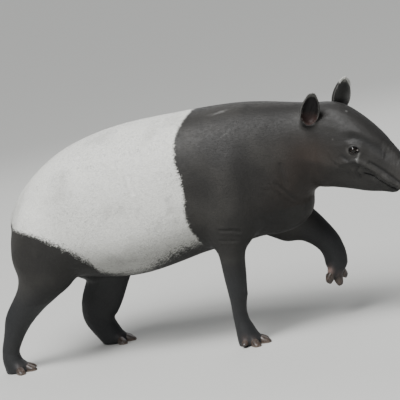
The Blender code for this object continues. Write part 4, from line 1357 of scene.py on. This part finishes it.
def addTuftMesh(name, verts, shades, faces, roots, part, look, slot):
    count, each = verts.shape[:2]
    corners = np.concatenate([np.array(face) for face in faces])
    totals = np.tile([len(face) for face in faces], count)
    index = (np.arange(count)[:, None] * each + corners).ravel()
    mesh = bpy.data.meshes.new(name)
    mesh.vertices.add(count * each)
    mesh.vertices.foreach_set("co", verts.ravel())
    mesh.loops.add(len(index))
    mesh.loops.foreach_set("vertex_index", index)
    mesh.polygons.add(len(totals))
    mesh.polygons.foreach_set("loop_start", np.concatenate(([0], np.cumsum(totals)[:-1])))
    mesh.polygons.foreach_set("loop_total", totals)
    mesh.update(calc_edges=True)
    patch = np.array(((-0.5, -0.5), (0.5, -0.5), (0, 0.1), (0, 0.5)))[np.minimum(corners, 3)]
    uv = np.clip(roots["uv"][part][:, None] + patch * coat["patch"], 0, 1)
    mesh.uv_layers.new(name="OFBake").data.foreach_set("uv", uv.ravel())
    for key, values in roots["marks"].items():
        setAttribute(mesh, key, np.repeat(values[part], each))
    piece = bpy.data.objects.new(name, mesh)
    bpy.context.scene.collection.objects.link(piece)
    ride(piece, look, slot)
    # shaded like the skin under it
    mesh.normals_split_custom_set_from_vertices(unit(shades.reshape(-1, 3)))


def chooseRoots(roots, chosen):
    kept = {key: rows[chosen] for key, rows in roots.items() if key != "marks"}
    kept["marks"] = {key: rows[chosen] for key, rows in roots["marks"].items()}
    return kept


def addCoat(skin, look):
    dice = np.random.default_rng(coat["seed"])
    place, normal, uv = scatterRoots(skin, dice)
    count = len(place)
    sizes = coatSizes(place)
    along = lieOfCoat(place, normal)
    sway = np.radians(dice.normal(0, coat["sway"], count))[:, None]
    along = along * np.cos(sway) + np.cross(normal, along) * np.sin(sway)
    lift = dice.uniform(*coat["lift"], count)
    lift = np.where(dice.random(count) < coat["stray"], coat["strayLift"], lift)
    found = coatMarks(place, normal)
    found["white"] = (whiteShare(place) > dice.random(count)) * 1.0
    found["tone"] = dice.normal(1, coat["toneSpread"], count).clip(*coat["tones"])
    roots = {"place": place, "normal": normal, "uv": uv, "along": along, "marks": found,
             "length": sizes[:, 1] * dice.uniform(0.75, 1.25, count),
             "half": sizes[:, 2] * dice.uniform(0.8, 1.2, count), "lift": np.radians(lift)}
    white = found["white"] > 0.5
    print("coat:", count, "tufts")
    growTufts("coatWhite", chooseRoots(roots, white), look, "coat_white")
    growTufts("coatBlack", chooseRoots(roots, ~white), look, "coat_black")


unwrapSkin(skin)
tuftLook = coatLook("coatTufts", False)
addCoat(skin, tuftLook)


# Longer hairs that stand clear of the coat
print("bristles")

bristles = {
    "seed": 11,
    # how many on each side of the head, length, half width, how pale, lift in degrees
    "tip": (620, 0.0095, 0.00055, 1.0, (-10, 15)),
    "cup": (130, 0.0090, 0.00018, 0.28, (-5, 20)),
    "lash": (36, 0.0120, 0.00022, 0.0, (0, 15)),
    "whisker": (60, 0.0170, 0.00018, 0.12, (20, 40)),
    "snout": (0.30, 0.47),         # where the whiskers grow, forward on the head
    "scatter": 0.0006, "untidy": 0.16, "toneSpread": 0.1,
}


def addBristles(skin, look):
    dice = np.random.default_rng(bristles["seed"])
    points, normals = readPoints(skin), readPoints(skin, "normal")
    held = toHead(points)
    places = np.zeros((len(points), 2))
    places[readRows(skin.data.loops, "vertex_index", 1, int)[:, 0]] = readBake(skin)
    roots = []

    def grow(kind, chance, along, share=1.0):      # with roots picked from the skin's points
        count, length, half, pale, lift = bristles[kind]
        chance = chance + 1e-12
        chosen = dice.choice(len(points), count, p=chance / chance.sum())
        spot = dice.normal(0, bristles["scatter"], (count, 3))
        spot -= normals[chosen] * (spot * normals[chosen]).sum(1)[:, None]
        roots.append({
            "place": points[chosen] + spot, "normal": normals[chosen], "uv": places[chosen],
            "along": unit(along[chosen] + dice.normal(0, bristles["untidy"], (count, 3))),
            "length": length * dice.uniform(0.6, 1.25, count),
            "half": half * dice.uniform(0.8, 1.2, count),
            "lift": np.radians(dice.uniform(*lift, count)), "pale": np.full(count, pale * share)})

    for side in sides:
        local = toEar(points, side)
        outer, cup = eggLevel(local, ears["sizes"]), hollowLevel(local)
        rim = (np.abs(cup - 1) < 0.10) & (np.abs(outer - 1) < 0.08) & (outer < 1.1)
        turned = earAxes(side)[1]
        out = unit(local * (0, 1, 1)) @ turned.T
        grow("tip", rim * tipShare(local, side), out + 0.3 * turned[:, 2], marks["tip"][side] ** 2)
        across = unit(local * (0, -1, 0.1) + (0.004, 0, 0.010)) @ turned.T
        low = rim * (1 - ramp(local[:, 2], 0.000, 0.040)) * ramp(local[:, 2], -0.066, -0.050)
        grow("cup", low, across)
        local = toEye(points, side)
        level = lidLevel(local)
        edge = (level > 1.04) & (level < 1.22) & (local[:, 2] > 0.35 * eyes["rise"] * eyeRadius)
        lay = eyeAxes(side)[1][:, 0] - 0.5 * headTurn[:, 2]
        grow("lash", edge, np.tile(lay, (len(points), 1)))
        near, far = bristles["snout"]
        jowl = (held[:, 0] > near) & (held[:, 0] < far) & (held[:, 1] * sides[side] > 0.012)
        jowl = jowl * bell(sideDistance(held, mouth["line"]) - 0.016, 0.010)
        lay = headTurn @ (-0.8, 0, -0.6)
        grow("whisker", jowl, np.tile(lay, (len(points), 1)))
    whole = {key: np.concatenate([row[key] for row in roots]) for key in roots[0]}
    count = len(whole["place"])
    pale = whole.pop("pale")
    names = [*coatMarks(points[:1], normals[:1]), "white"]
    blank = dict.fromkeys(names, np.zeros(count))
    tone = dice.normal(1, bristles["toneSpread"], count).clip(*coat["tones"])
    whole["marks"] = {**blank, "tone": tone, "fringe": pale}
    growTufts("bristles", whole, look, "coat_black", lengths=2)


addBristles(skin, tuftLook)
